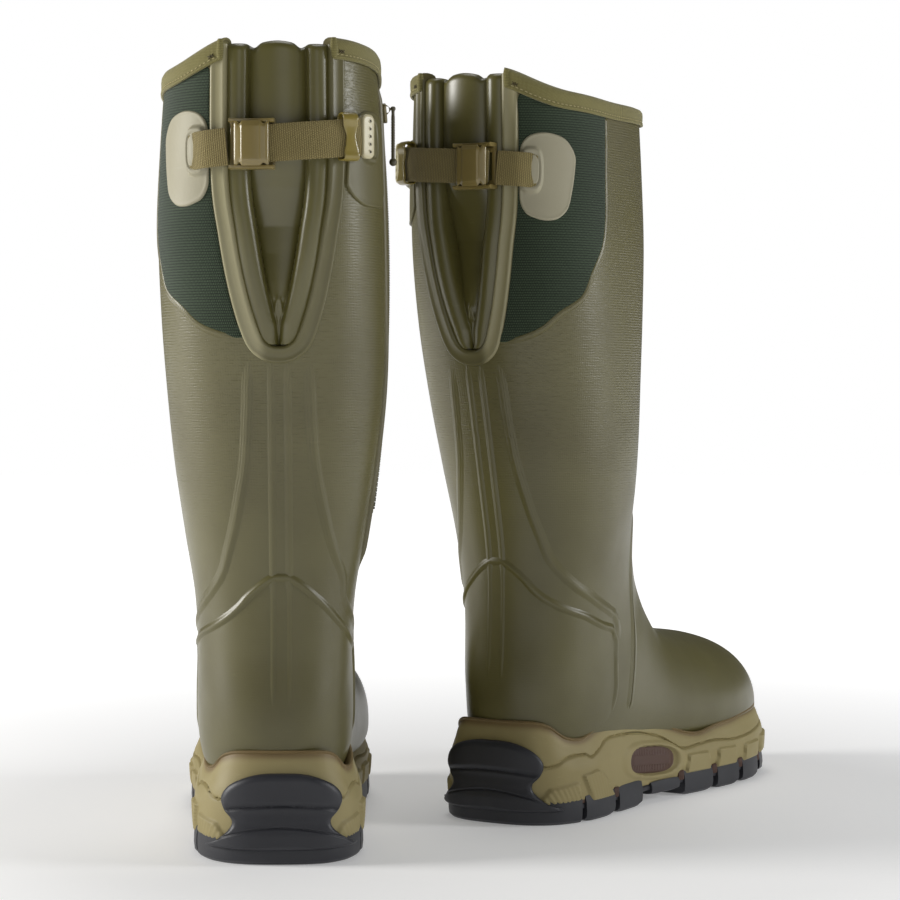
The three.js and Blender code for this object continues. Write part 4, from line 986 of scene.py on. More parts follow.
counterValues = {
    "base": [(45, 60), (10, 60)],
    "baseBack": 66,
    "edge": [(0.3, -0.1), (3, 0.12), (8, 0.32), (14, 0.34)],
}


# Heel counter: a slightly raised panel inside its ridge.
def counterPart():
    v = counterValues
    bottomIn, bottomOut = locate("side", v["base"], False), locate("side", v["base"], True)
    bottomBack = locate("back", [(0.0, v["baseBack"])])
    control = np.vstack([counterControl(), bottomIn, bottomBack, bottomOut[::-1]])
    return patch(smoothLine(control, 220, closed=True), v["edge"], rings=14)


addPiece("heelCounter", counterPart(), legRubber, ("heel_counter",))

# Liner: a knit-faced sleeve inside the rubber.
linerValues = {"outside": 2.4, "inside": 7.0, "notch": 1.5, "above": 0.02}
linerDepths = (linerValues["outside"], linerValues["inside"])
linerPart = shellPart(*linerDepths, linerValues["notch"], topRow + linerValues["above"], 150, 80)
addPiece("liner", linerPart, cloth["linerKnit"], ("liner",))


# Line along the notch's edge, from the top on the outer side round the bottom to the inner.
def notchLine(offset, count, top):
    curve = notchCurve(offset)
    curve = curve[curve[:, 0] <= top]
    right = np.stack([curve[:, 1], curve[:, 0]], 1)
    return locate("back", smoothLine(np.vstack([right[::-1], right[1:] * [-1, 1]])[::12], count))


# Band round the notch: rolled inner edge, flat middle, low outer ridge.
def bandPart():
    w, p = bandValues["width"], bandValues["proud"]
    line = notchLine(w / 2, 240, 447)
    h = w / 2
    roll = [(-h - 0.3, -0.3), (-h, 0.35), (-h + 0.9, p + 0.35), (-h + 1.9, p + 0.3), (-h + 2.7, p - 0.15)]
    ridge = [(h - 2.6, p - 0.2), (h - 1.9, p + 0.25), (h - 1.0, p + 0.4), (h - 0.2, p), (h + 0.3, -0.4)]
    profile = roll + [(0, p - 0.1)] + ridge + [(h + 0.5, -1.6)]
    return strip(line, profile, 0, depth=2.0)


band = bandPart()
# the outer weight lightens the band's outer side as painted light
addPiece("gussetBinding", band, bandRubber, ("gusset_binding",), smooth=60,
         weights={"outer": ease(6, 12, band["points"][:, 0])})

# Gusset: a round roll down each side and a shallow elliptical one between them. The one that
# stands out furthest wins softly. The middle lies deepest part way up and comes forward again
# below the strap: gussetRecess gives (height, depth).
gussetValues = {
    "low": 286.2, "top": 446.5, "wall": 2.4, "sideRadius": 7.2, "blend": 0.7, "crestIn": 0.72,
    "rollShare": 0.56, "sink": 0.6, "pull": (1.2, 330, 60), "middleIn": 1.62, "sag": (3.0, 4.5, 370, 405),
    "floor": 15.0, "crease": (0.7, 1.7), "creaseTop": 312, "creaseSlope": 0.25, "edgeRound": 4.5,
}
gussetRecess = np.array([
    [280, 3], [311, 3], [320, 5], [335, 9], [350, 11], [370, 8], [385, 3], [400, 0], [470, 0],
], float)
outOfReach = 60.0  # a depth at which a roll takes no part


def gussetPart():
    v = gussetValues
    rows, columns = 150, 121
    z = v["low"] + (v["top"] - v["low"]) * np.linspace(0, 1, rows) ** 1.15
    u = np.linspace(-1, 1, columns)
    curve = notchCurve(0.2)
    half = np.maximum(np.interp(z, curve[:, 0], curve[:, 1]), 1.0)
    x = u[None, :] * half[:, None]
    zGrid = np.broadcast_to(z[:, None], x.shape)
    # the skin's own depth behind each point
    t = np.linspace(14.5, topRow + 0.2, 90)
    share = np.linspace(-1, 1, 161)
    turn = 0.5 - np.sign(share) * 0.12 * share**2
    sample = skin(t[:, None], turn[None, :])[:, ::4]
    backY = np.empty_like(x)
    for i in range(rows):
        at = np.array([np.interp(z[i], line[:, 2], line[:, 1]) for line in sample.swapaxes(0, 1)])
        ax = np.array([np.interp(z[i], line[:, 2], line[:, 0]) for line in sample.swapaxes(0, 1)])
        order = np.argsort(ax)
        backY[i] = np.interp(x[i], ax[order], at[order])
    rise = (zGrid - v["low"]) / (v["top"] - v["low"])
    radius = np.minimum(v["sideRadius"], half[:, None] * v["rollShare"])
    crest = np.maximum(half[:, None] - v["crestIn"] * radius, 0.0)
    side = radius - np.sqrt(np.maximum(radius**2 - (np.abs(x) - crest) ** 2, 0.0))
    side = np.where(np.abs(x) < crest - radius * 0.999, outOfReach, side)
    pull, pullAt, pullHalf = v["pull"]
    sideY = side - pull * bump(zGrid, pullAt, pullHalf) - v["sink"]
    # the middle is a shallow ellipse that fills the room between the side rolls
    middleHalf = np.maximum(half[:, None] - v["middleIn"] * radius, 0.6)
    least, more, sagFrom, sagTo = v["sag"]
    sag = least + more * ease(sagFrom, sagTo, zGrid)
    share = np.clip(np.abs(x) / middleHalf, 0, 0.9995)
    recess = np.interp(zGrid, gussetRecess[:, 0], gussetRecess[:, 1])
    middleY = recess + sag * (1 - np.sqrt(1 - share**2))
    middleY = np.where(np.abs(x) > middleHalf, outOfReach, middleY)
    # two thin creases meet above the notch's lowest point
    crease = np.abs(x) - v["creaseSlope"] * (v["creaseTop"] - zGrid)
    high, wide = v["crease"]
    middleY = middleY - high * bump(crease, 0, wide) * ease(v["creaseTop"] + 2, v["creaseTop"] - 3, zGrid)
    floor = np.full(x.shape, v["floor"])
    k = v["blend"]
    levels = np.stack([sideY, middleY, floor])
    low = levels.min(0)
    soft = low - k * np.log(np.exp(-(levels - low) / k).sum(0))
    y = backY + soft
    # the top edge rounds over, and dips between the rolls
    crestZ = 1.6 * np.exp(-(x / 9) ** 2) - 2.2 * np.exp(-((np.abs(x) - 12.2) / 2.6) ** 2)
    zOut = zGrid + crestZ * ease(0.9, 1.0, rise)
    over = np.clip((zGrid - (v["top"] - v["edgeRound"])) / v["edgeRound"], 0, 1)
    y = y + 4.2 * (1 - np.sqrt(1 - 0.999 * over**2)) * 0.8
    top = np.stack([x, y, zOut], -1)
    lean = np.stack([np.zeros_like(x), np.full_like(x, v["wall"]), np.zeros_like(x)], -1)
    girth = np.cumsum(np.linalg.norm(np.diff(top, axis=1, prepend=top[:, :1]), axis=2), axis=1)
    uv = np.stack([girth, zGrid], -1) / 1000
    return between(top, top + lean, uv)


addPiece("gussetFolds", gussetPart(), gussetRubber, ("gusset",), smooth=75)
print("gusset and band made")

# Stretch panel: cloth on the outer side between the band and the front edge, with a thin
# rubber lip over its lower and front edges.
panelValues = {
    "low": [(18.5, 289.6), (29.6, 291.3), (43.5, 297), (53.2, 306.4)],
    "edge": [(0, 316), (6, 330), (14, 345), (18, 362), (20, 387), (22, 408), (23.5, 424)],
    "lip": [(-2.2, -0.2), (-1.4, 0.5), (-0.5, 0.85), (0.5, 0.85), (1.3, 0.5), (2.4, -0.15)],
}


# The panel's outline, and the part of it that the lip follows: up the band, along under the
# rim, and back down the front and lower edges.
def panelParts():
    low = locate("back", panelValues["low"])
    front = locate("side", panelValues["edge"], True)
    bandEdge = notchCurve(bandValues["width"] + 0.2)
    keep = (bandEdge[:, 0] > 294) & (bandEdge[:, 0] < 440)
    back = locate("back", np.stack([bandEdge[keep, 1], bandEdge[keep, 0]], 1)[::10])
    topTurn = np.linspace(back[-1, 1], front[-1, 1], 9)[1:-1]
    topLine = np.stack([np.full(7, topRow - 0.12), topTurn], 1)
    lower = np.vstack([low, front])
    loop = np.vstack([back, topLine, lower[::-1]])
    return smoothLine(loop, 300, closed=True), smoothLine(lower, 220)


panelLoop, lipLine = panelParts()
panelPart = patch(panelLoop, [(0.0, 0.1), (0.8, 0.3), (3, 0.42)], rings=40)
addPiece("sidePanel", panelPart, cloth["panelCloth"], ("side_panel",))
lipPart = strip(lipLine, [(-a, h) for a, h in panelValues["lip"][::-1]], 0.02)
addPiece("panelLip", lipPart, legRubber)
print("side panel made")

# Rim binding: tape folded over the top edge, with a lip and a row of stitches near its lower
# edge, and rolled ends beside the notch.
rimValues = {"tall": 10.0, "stitch": 2.9, "stitchDrop": 7.6, "rowHeight": 44.0, "notch": 1.5}


# A place near the top edge: so far below it, and so far out from the skin.
def rimPoints(turn, drop, outset):
    t = topRow - np.asarray(drop, float) / rimValues["rowHeight"]
    return skin(t, turn, -np.asarray(outset, float))


# The tape's section, as (drop, outwards) round it from its lower outer edge, carried along the
# top edge from one side of the notch to the other.
def rimPart():
    v = rimValues
    t = np.array([topRow - 0.1])
    start = 0.5 + notchTurn(t, v["notch"], -1)[0]
    end = 1.5 - notchTurn(t, v["notch"], 1)[0]
    turn = np.linspace(start, end, 320)
    profile = np.array([
        (v["tall"], 0.4), (v["tall"] + 0.2, 1.2), (v["tall"] - 0.4, 2.1), (v["tall"] - 1.4, 2.25),
        (v["tall"] - 2.0, 1.75), (5.5, 2.1), (2.5, 2.3), (0.8, 2.2), (-0.6, 1.5), (-1.5, -0.4), (-1.8, -3.0),
        (-1.5, -5.8), (-0.6, -7.6), (1.0, -8.4), (5.0, -8.5), (9.0, -8.3), (9.3, -7.3), (5.0, -6.6),
        (0.6, -6.2), (0.35, -3.0), (0.6, -0.6), (5.0, -0.2),
    ])
    loops = rimPoints(turn[:, None], profile[None, :, 0], profile[None, :, 1])
    body = tube(loops)
    girth = runAlong(profile)
    run = (turn - start) * skinGirth
    uv = np.stack(np.meshgrid(run, girth, indexing="ij"), -1).reshape(-1, 2) / 1000
    body["uv"][: len(uv)] = uv
    return body, start, end


rimBody, rimStart, rimEnd = rimPart()


# Stitches: small thread beads lying along a line, half sunk in.
def stitchRow(points, out, pitch, length=2.0, thick=0.32, turned=0.0):
    run = runAlong(points)
    at = np.arange(pitch / 2, run[-1], pitch)
    place, up = pointsAt(at, run, points), pointsAt(at, run, out)
    ahead = pointsAt(at + 0.2, run, points) - pointsAt(at - 0.2, run, points)
    ahead /= np.maximum(np.linalg.norm(ahead, axis=1, keepdims=True), 1e-9)
    up /= np.linalg.norm(up, axis=1, keepdims=True)
    cross = np.cross(up, ahead)
    ahead = ahead * math.cos(turned) + cross * math.sin(turned)
    cross = np.cross(up, ahead)
    shape = pebble(length / 2, thick, thick, square=2.2, rows=5, columns=8)
    return scattered(shape, place, np.stack([ahead, cross, up], 1))


rimTurn = np.linspace(rimStart + 0.004, rimEnd - 0.004, 500)
rimOut = skinOut(np.full(500, topRow - 0.2), rimTurn)
rimStitch = stitchRow(rimPoints(rimTurn, rimValues["stitchDrop"], 1.85), rimOut, rimValues["stitch"])
addPiece("rimBinding", rimBody, cloth["rimTextile"], ("rim_binding",))
addPiece("rimStitches", rimStitch, cloth["threadCotton"], smooth=80)


rimEndValues = {"drops": (-1.2, 9.6), "half": (2.1, 1.9), "tackTurns": (0.012, 0.021), "tackDrop": 6.0}


# Each end of the tape is rolled over into a short upright bead, tacked with a crossed stitch.
def rimEnds():
    v = rimEndValues
    beads, tacks = [], []
    for turn, s in ((rimStart, 1), (rimEnd, -1)):
        drop = np.linspace(*v["drops"], 14)
        path = rimPoints(np.full(14, turn + s * 0.0035), drop, np.full(14, 1.1))
        out = skinOut(np.full(14, topRow - 0.15), np.full(14, turn))
        side = np.cross(out, np.array([0, 0, 1.0]))
        side /= np.linalg.norm(side, axis=1, keepdims=True)
        taper = np.sin(np.linspace(0.35, np.pi - 0.35, 14)) ** 0.4
        beads.append(bar(path, side, out, *v["half"], 2.2, 14, taper))
        tackTurn = np.linspace(turn + s * v["tackTurns"][0], turn + s * v["tackTurns"][1], 8)
        line = rimPoints(tackTurn, v["tackDrop"], 2.2)
        outLine = skinOut(np.full(8, topRow - 0.15), tackTurn)
        for angle in (0.7, -0.7):
            tacks.append(stitchRow(line, outLine, 1.5, 3.2, 0.32, angle))
    return joined(beads), joined(tacks)


endBeads, endTacks = rimEnds()
addPiece("rimEnds", endBeads, cloth["rimTextile"])
addPiece("rimTacks", endTacks, cloth["threadDark"], smooth=80)
print("rim made")

# Sole outline in plan: along the foot, half width outwards and inwards; the front and back
# ends close it. The curve runs anticlockwise seen from above.
soleRows = np.array([
    [-1, 20, 20], [6, 34, 32], [18, 43.5, 39.5], [40, 50.5, 44.5], [75, 51, 42], [110, 51, 38],
    [145, 55, 38], [180, 61, 42], [215, 65, 46], [245, 64, 47], [272, 57, 43], [295, 42, 33], [310, 23, 18],
], float)
soleBack, soleFront = [[0, -3]], [[2, 317]]
outlineCount = 640
outerSide = np.stack([soleRows[:, 1], soleRows[:, 0]], 1)
innerSide = np.stack([-soleRows[:, 2], soleRows[:, 0]], 1)
soleControl = np.vstack([soleBack, outerSide, soleFront, innerSide[::-1]])
soleLoop = smoothLine(soleControl, outlineCount, closed=True)
loopRun = np.roll(soleLoop, -1, 0) - np.roll(soleLoop, 1, 0)
loopRun /= np.linalg.norm(loopRun, axis=1, keepdims=True)
loopIn = np.stack([-loopRun[:, 1], loopRun[:, 0]], 1)
loopLength = runAlong(soleLoop)
loopTotal = loopLength[-1] + np.linalg.norm(soleLoop[0] - soleLoop[-1])

# The midsole's upper edge: position along the foot and height.
waveRows = np.array([
    [-12, 62.5], [0, 62.5], [8, 60], [20, 52.5], [33, 51], [48, 55], [68, 58.5], [88, 60], [110, 56.7],
    [135, 48.4], [160, 41], [176, 39], [196, 42], [215, 43.5], [232, 45.5], [260, 47], [285, 49], [325, 52],
], float)
waveFine = throughRows(waveRows, np.linspace(0, len(waveRows) - 1, 600))


def waveAt(y):
    return np.interp(y, waveFine[:, 0], waveFine[:, 1])


# Inside a four-sided pad seen from the side: 1 within, easing to 0 over `soft` millimetres.
def padMask(y, z, corners, soft=1.0):
    corners = np.asarray(corners, float)
    mask = np.ones_like(y)
    for a, b in zip(corners, np.roll(corners, -1, 0)):
        run = (b - a) / np.linalg.norm(b - a)
        inside = run[0] * (z - a[1]) - run[1] * (y - a[0])
        mask = mask * ease(-soft / 2, soft / 2, inside)
    return mask


midsoleValues = {
    "low": 11.9,
    "groove": [(-8, 35), (8, 35.6), (18, 40), (32, 41), (38, 39), (49, 43), (63, 47.7), (100, 46.4),
               (131, 39.7), (150, 31), (171, 31.3), (189, 32), (215, 30.5), (250, 33), (285, 37), (325, 40)],
    "grooveHalf": 1.0,
    "grooveDeep": 2.0,
    "pads": [
        [(3, 12), (27, 14), (25, 25), (8, 22)],
        [(38, 11), (64, 12.5), (52, 25), (42, 31), (28, 29)],
        [(154, 14.5), (180, 14.5), (178, 26), (156, 26.5)],
        [(188, 14.5), (212, 14.5), (211, 26), (190, 26.5)],
        [(224, 14.5), (248, 15), (248, 26), (225, 25.5)],
        [(256, 15.5), (277, 17.5), (280, 29), (257, 27)],
    ],
    "padHigh": 2.1,
    "padSoft": 1.4,
    "hatch": 2.1,
    "hatchDeep": 0.6,
    "hatchEnd": 75,
    "gaps": (67, 149, 186, 219, 253),
    "scallop": (1.5, 3.6),
    "badge": (115, 27.5, 28, 8.6),
    "badgeTilt": 0.09,
    "surround": {"outer": 1.3, "inner": 0.8},
    "badgeFloor": 3.4,
    "arch": (1.6, 126, 22),
    "lean": 4.4,
}


# How far the midsole's side stands out: a groove under the top edge, raised hatched pads
# between the lugs, a raised surround and a sunk floor for the arch badge.
def midsoleRelief(y, z, side):
    v = midsoleValues
    below = waveAt(y) - z
    out = 0.35 * bump(below, 5.0, 6.0)
    line = np.array(v["groove"], float)
    fine = throughRows(line, np.linspace(0, len(line) - 1, 400))
    away = z - np.interp(y, fine[:, 0], fine[:, 1])
    out -= v["grooveDeep"] * bump(away, 0, v["grooveHalf"])
    pads = np.zeros_like(y)
    for pad in v["pads"]:
        # corners run anticlockwise in (y, z)
        pads = np.maximum(pads, padMask(y, z, pad, v["padSoft"]))
    lines = 0.5 + 0.5 * np.sin((y * 0.9 + z * 0.45) * 2 * np.pi / v["hatch"] / 1.25)
    out += pads * (v["padHigh"] - v["hatchDeep"] * lines * ease(v["hatchEnd"], v["hatchEnd"] - 5, y))
    by, bz, hy, hz = v["badge"]
    off = np.abs((z - bz + v["badgeTilt"] * (y - by)) / hz)
    reach = (np.abs((y - by) / hy) ** 2.6 + off**2.6) ** (1 / 2.6)
    surround = ease(1.5, 1.25, reach) * v["surround"]["outer"]
    floor = ease(1.12, 0.98, reach) * v["badgeFloor"]
    archDeep, archY, archHalf = v["arch"]
    arch = bump(z, 8, 7) * bump(y, archY, archHalf) * archDeep
    out += np.where(side > 0, surround - floor, ease(1.5, 1.25, reach) * v["surround"]["inner"]) - arch
    # shallow scallops along the lower edge, one behind each lug gap
    deep, half = v["scallop"]
    for gapY in v["gaps"]:
        out -= deep * bump(y, gapY, half) * bump(z, 12.5, 8)
    return out


# The outline carried up the side with its relief, in over the top rim and back underneath; the
# tint marks the rim.
def midsolePart():
    v = midsoleValues
    y = soleLoop[:, 1]
    top = waveAt(y)
    side = np.sign(soleLoop[:, 0])
    rowsUp = 52
    share = np.linspace(0, 1, rowsUp)[:, None]
    z = v["low"] + 1.0 + (top - 2.0 - v["low"] - 1.0) * share
    swell = 1.2 * np.sin(np.pi * np.clip(share, 0, 1)) ** 0.7
    inset = 1.4 - swell - midsoleRelief(np.broadcast_to(y, z.shape), z, np.broadcast_to(side, z.shape))
    inset = inset + v["lean"] * ease(0.5, 1.0, share) + 0.6 * ease(0.85, 1.0, share)
    rimSteps = [(1.0, 5.4), (0.35, 5.8), (0.05, 6.4), (0.1, 7.2), (0.7, 8.4), (2.5, 10.0), (6, 12), (14, 14)]
    rim = [(top - drop, away) for drop, away in rimSteps]
    underSteps = [(2.0, 14.0), (0.0, 13.0), (0.0, 5.0), (0.1, 1.9)]
    under = [(np.full_like(y, v["low"] + rise), away) for rise, away in underSteps]
    heights = np.vstack([z] + [h[None] for h, _ in rim + under])
    insets = np.vstack([inset] + [np.full((1, len(y)), i) for _, i in rim + under])
    plan = soleLoop[None] + loopIn[None] * insets[..., None]
    points = np.concatenate([plan, heights[..., None]], -1)
    uv = np.stack(np.broadcast_arrays(loopLength[None], heights), -1) / 1000
    tint = np.zeros(heights.shape)
    tint[rowsUp - 2 : rowsUp + 6] = 0.85
    tint[rowsUp - 5 : rowsUp - 2] = np.array([0.1, 0.3, 0.6])[:, None]
    part = facing(grid(points, uv, wrapColumns=True, wrapRows=True))
    return part, tint.ravel()


midsole, midsoleTint = midsolePart()
addPiece("midsole", midsole, midRubber, ("midsole",), smooth=48,
         weights={"rimTint": midsoleTint})
print("midsole made")


# A place on the sole's side: s is the distance along the outline, z the height.
def solePoint(s, z, out):
    s = np.mod(s, loopTotal)
    run = np.append(loopLength, loopTotal)
    ring = np.vstack([soleLoop, soleLoop[:1]])
    inward = np.vstack([loopIn, loopIn[:1]])
    x = np.interp(s, run, ring[:, 0]) - np.interp(s, run, inward[:, 0]) * out
    y = np.interp(s, run, ring[:, 1]) - np.interp(s, run, inward[:, 1]) * out
    return np.stack([x, y, z * np.ones_like(x)], -1)


# A raised area inside a closed line (s, z) on the sole's side, built as patch() is on the skin.
def solePatch(loop, edge, rings, shape, base, depth):
    edge = np.asarray(edge, float)
    centre = loop.mean(0)
    radius = np.linalg.norm(loop - centre, axis=1)
    near = 1 - edge[:, 0][:, None] / radius[None]
    share = np.vstack([near, near[-1][None] * np.linspace(1, 0, rings + 1)[1:, None]])
    high = np.concatenate([edge[:, 1], np.full(rings, edge[-1, 1])])[:, None] * np.ones(len(loop))
    place = centre + (loop - centre)[None] * share[..., None]
    high = high + shape(place[..., 0], place[..., 1]) * ease(0, 1, (1 - share) * 8)
    top = solePoint(place[..., 0], place[..., 1], high + base)
    bottom = solePoint(place[..., 0], place[..., 1], np.full(high.shape, base - depth))
    return between(top, bottom, place / 1000, wrapColumns=True, closeEnd=False)


# Heel guard: a wide cap, a waist and a flare down to the tread, over the back of the midsole.
guardValues = {
    "side": [(0, 50.5), (12, 50), (22, 47.5), (29.5, 43), (33, 37), (31.5, 30.5), (27.5, 25.5), (27.5, 21.5),
             (31, 17), (36, 12.5), (38.5, 8.6)],
    "edge": [(0, 0.0), (0.5, 0.8), (1.4, 1.4), (3, 1.7)],
    "base": 0.4,
    "depth": 5.0,
}


# The outline is given from behind, as (x, height), and turned into distances round the heel.
def guardPart():
    v = guardValues
    near = (soleLoop[:, 1] < 24) & (loopLength < 200)
    far = (soleLoop[:, 1] < 24) & (loopLength > 200)
    x = np.concatenate([soleLoop[far, 0], soleLoop[near, 0]])
    s = np.concatenate([loopLength[far] - loopTotal, loopLength[near]])
    order = np.argsort(x)
    side = np.array(v["side"])
    outline = np.vstack([side, (side[1:] * [-1, 1])[::-1]])
    outline[:, 0] = np.interp(outline[:, 0], x[order], s[order])
    loop = smoothLine(outline, 260, closed=True)

    # a domed cap, a crease and an arc that sag at the sides, and a flare at the foot
    def relief(a, z):
        cap = ease(0, 1.2, z - 34.5 + 0.0035 * a * a)
        crease = bump(z - 33 + 0.003 * a * a, 0, 1.3)
        arc = bump(z - 21 + 0.0055 * a * a, 0, 1.0)
        lower = ease(24, 16, z)
        return 0.6 * cap - 1.0 * crease - 0.7 * arc + 1.2 * lower - 0.5 * bump(z, 29, 6)

    return solePatch(loop, v["edge"], 34, relief, v["base"], v["depth"])


addPiece("heelGuard", guardPart(), blackRubber, ("heel_guard",), smooth=40)


badgeValues = {"over": (0.8, 0.6), "power": 0.78, "rib": 3.2, "edge": [(0, -2.4), (1, -1.6), (2.5, -1.5)],
               "base": -0.6, "depth": 3.0}


# Arch badge: an oval floor with raised ribs, set in the outer side of the midsole.
def badgePart():
    v = badgeValues
    by, bz, hy, hz = midsoleValues["badge"]
    onOuter = soleLoop[:, 0] > 0
    order = np.argsort(soleLoop[onOuter, 1])
    middle = np.interp(by, soleLoop[onOuter, 1][order], loopLength[onOuter][order])
    angle = np.linspace(0, 2 * np.pi, 120, endpoint=False)
    c, s = np.cos(angle), np.sin(angle)
    a = (hy + v["over"][0]) * signedPower(c, v["power"])
    b = (hz + v["over"][1]) * signedPower(s, v["power"])
    loop = np.stack([middle + a, bz + b - midsoleValues["badgeTilt"] * a], 1)

    def relief(p, z):
        a = p - middle
        b = z - bz + midsoleValues["badgeTilt"] * a
        ribs = 0.5 + 0.5 * np.cos(a * 2 * np.pi / v["rib"])
        field = ease(1.0, 0.8, np.sqrt((a / hy) ** 2 + (b / hz) ** 2))
        plate = ease(3.6, 2.8, np.abs(b)) * ease(hy - 5, hy - 7, np.abs(a))
        return field * (0.55 * ribs * (1 - plate) + 0.7 * plate)

    return solePatch(loop, v["edge"], 26, relief, v["base"], v["depth"])


addPiece("archBadge", badgePart(), coreFoam, ("arch_badge",), smooth=40)

# Outsole: a thin web and lugs. Edge lugs follow the outline, flare outwards and have a
# chamfered foot; the toe rises a little from the floor.
outsoleValues = {
    "webLow": 8.4, "webTop": 11.7, "webCentre": (5.0, 150.0), "inset": 1.3, "lugReach": 22,
    "springFrom": 245, "spring": 7, "heelEnd": 28,
    "lugSize": (0.86, 0.97, 1, 1, 1, 1, 1, 0.97, 0.86),
    "lugShape": [(3.0, 1.8), (-0.6, 1.7), (-1.5, 1.2), (-1.7, 0.6), (-1.3, 0.22), (0.2, 0.06), (2.2, 0.0)],
    "heelShape": [(3.0, 1.6), (-0.4, 1.5), (-0.7, 1.0), (-0.6, 0.55), (-0.2, 0.22), (1.4, 0.06), (3.4, 0.0),
                  (20, 0.0), (22, 0.1), (23.5, 1.0)],
    "edge": [(31, 64), (70, 102), (152, 183), (189, 216), (222, 250), (256, 282)],
    "waist": (114, 146), "waistDrop": 3.4,
    "centre": [(14, 34), (46, 64), (170, 186), (204, 220), (238, 252)],
    "toe": (288, 306),
}


# The toe's lift from the floor: a power of the share of the way to the tip.
def sprung(y):
    v = outsoleValues
    return v["spring"] * np.clip((y - v["springFrom"]) / (320 - v["springFrom"]), 0, 1) ** 1.3


# Half width of the sole at y, outwards or inwards.
def sideReach(y, s):
    k = 1 if s > 0 else 2
    fine = throughRows(soleRows, np.linspace(0, len(soleRows) - 1, 500))
    return np.interp(y, fine[:, 0], fine[:, k])


# A web that follows the outline, and under it a tube for each lug: its section (inset, share of
# its height) is carried along the sole's edge and drawn in at its ends.
def outsolePart():
    v = outsoleValues
    profile = [(v["webTop"], 1.6), (v["webTop"] - 0.7, 0.9), (v["webLow"] + 0.6, 0.9), (v["webLow"], 1.6)]
    rings = []
    for high, inset in profile:
        ring = soleLoop + loopIn * (inset + v["inset"] - 1)
        rings.append(np.column_stack([ring, np.full(outlineCount, high)]))
    centreTop = np.broadcast_to([*v["webCentre"], v["webTop"]], rings[0].shape)
    centreLow = np.broadcast_to([*v["webCentre"], v["webLow"]], rings[0].shape)
    web = np.stack([centreTop] + rings + [centreLow])
    uv = web[..., :2] / 1000
    parts = [facing(grid(web, uv, wrapColumns=True))]
    top = v["webLow"] + 1.5
    for y0, y1 in v["edge"] + [v["waist"], v["toe"]]:
        for s in (1, -1):
            y = np.linspace(y0, y1, 9)
            size = np.array(v["lugSize"])
            low = (v["webLow"] - v["waistDrop"]) if (y0, y1) == v["waist"] else float(sprung(y1))
            tall = top - low
            edge = sideReach(np.clip(y, 0.5, 309), s) - v["inset"]
            reach = np.minimum(v["lugReach"], edge - 13.5)
            if (y0, y1) == v["toe"]:
                reach = edge - 0.5
            loops = []
            for inset, share in v["lugShape"]:
                loops.append(np.stack([edge - inset, y, low + tall * (1 - (1 - share) * size)], 1))
            for depth, share in ((reach - 2, 0.0), (reach, 0.1), (reach + 1.5, 1.0)):
                loops.append(np.stack([edge - depth, y, low + tall * (1 - (1 - share) * size)], 1))
            lug = np.stack(loops, 1)
            lug[..., 0] *= s
            parts.append(tube(lug))
    # the heel lug runs round the back in one piece
    back = soleLoop[:, 1] < v["heelEnd"]
    inner, outer = back & (loopLength > 400), back & (loopLength < 400)
    order = np.concatenate([np.flatnonzero(inner), np.flatnonzero(outer)])[::2]
    heel = []
    for inset, share in v["heelShape"]:
        ring = soleLoop[order] + loopIn[order] * inset
        heel.append(np.column_stack([ring, np.full(len(order), top * share)]))
    parts.append(tube(np.stack(heel, 1)))
    for y0, y1 in v["centre"]:
        y = np.linspace(y0, y1, 7)
        low = float(sprung(y1))
        loops = []
        size = np.array([0.9, 0.98, 1, 1, 1, 0.98, 0.9])
        left = [(-12.8, top), (-12, low + 0.8), (-11.2, low)]
        for x, z in left + [(-x, z) for x, z in left[::-1]]:
            loops.append(np.stack([np.full(7, x), y, top - (top - z) * size], 1))
        parts.append(tube(np.stack(loops, 1)))
    return joined(parts)


addPiece("outsole", outsolePart(), blackRubber, ("outsole",), smooth=35)


# Brown core: small ribbed blocks that show between the lugs on both sides.
coreValues = {"half": 2.9, "low": 10.6, "tall": 6.2, "deep": 2.2, "rib": 0.25}


# Each block is a small patch on the sole's side with a cosine for its ribs.
def corePart():
    v = coreValues
    blocks = []
    for k, s in ((1, 1), (2, -1)):
        on = soleLoop[:, 0] * s > 0
        order = np.argsort(soleLoop[on, 1])
        for gapY in midsoleValues["gaps"]:
            middle = np.interp(gapY, soleLoop[on, 1][order], loopLength[on][order])
            across = np.linspace(-v["half"], v["half"], 25)
            heights = np.array([0.0, 0.06, 0.5, 0.94, 1.0]) * v["tall"] + v["low"]
            edge = np.array([0.5, 0.0, 0.0, 0.0, 0.5])
            rib = v["rib"] * np.cos(across * 2 * np.pi / 1.4)
            rounded = 0.6 * (np.abs(across) / v["half"]) ** 8
            a, z = np.meshgrid(middle + across, heights, indexing="ij")
            out = rib[:, None] - rounded[:, None] - edge[None, :] - 0.1
            top = solePoint(a, z, out)
            bottom = solePoint(a, z, np.full(a.shape, -v["deep"]))
            blocks.append(between(top, bottom, np.stack([a, z], -1) / 1000))
    return joined(blocks)


addPiece("coreBlocks", corePart(), coreFoam, smooth=50)
print("sole made")

# Patches on both sides of the leg, each with a raised pocket that holds the webbing's end.
# The outer patch is drawn from behind, the inner one is a rounded rectangle seen from the side.
patchValues = {
    "height": 387, "wide": 21, "tall": 26, "corner": 14, "innerY": -6, "thick": 1.35,
    "outer": [(47, 411.5), (41, 409), (37.4, 402.5), (36.6, 390), (36.6, 380), (37, 371), (40, 364.5),
              (45, 361.5), (50, 360.2), (55, 361.4), (58.6, 367), (60, 377.4), (60.6, 390), (60.3, 399.4),
              (57.4, 407.6), (52.7, 411)],
    "pocketX": 42.7, "pocketY": -13, "pocketHalf": {"outer": 5.4, "inner": 7.2}, "pocketTall": 12.8,
    "pocketHigh": 2.6,
}
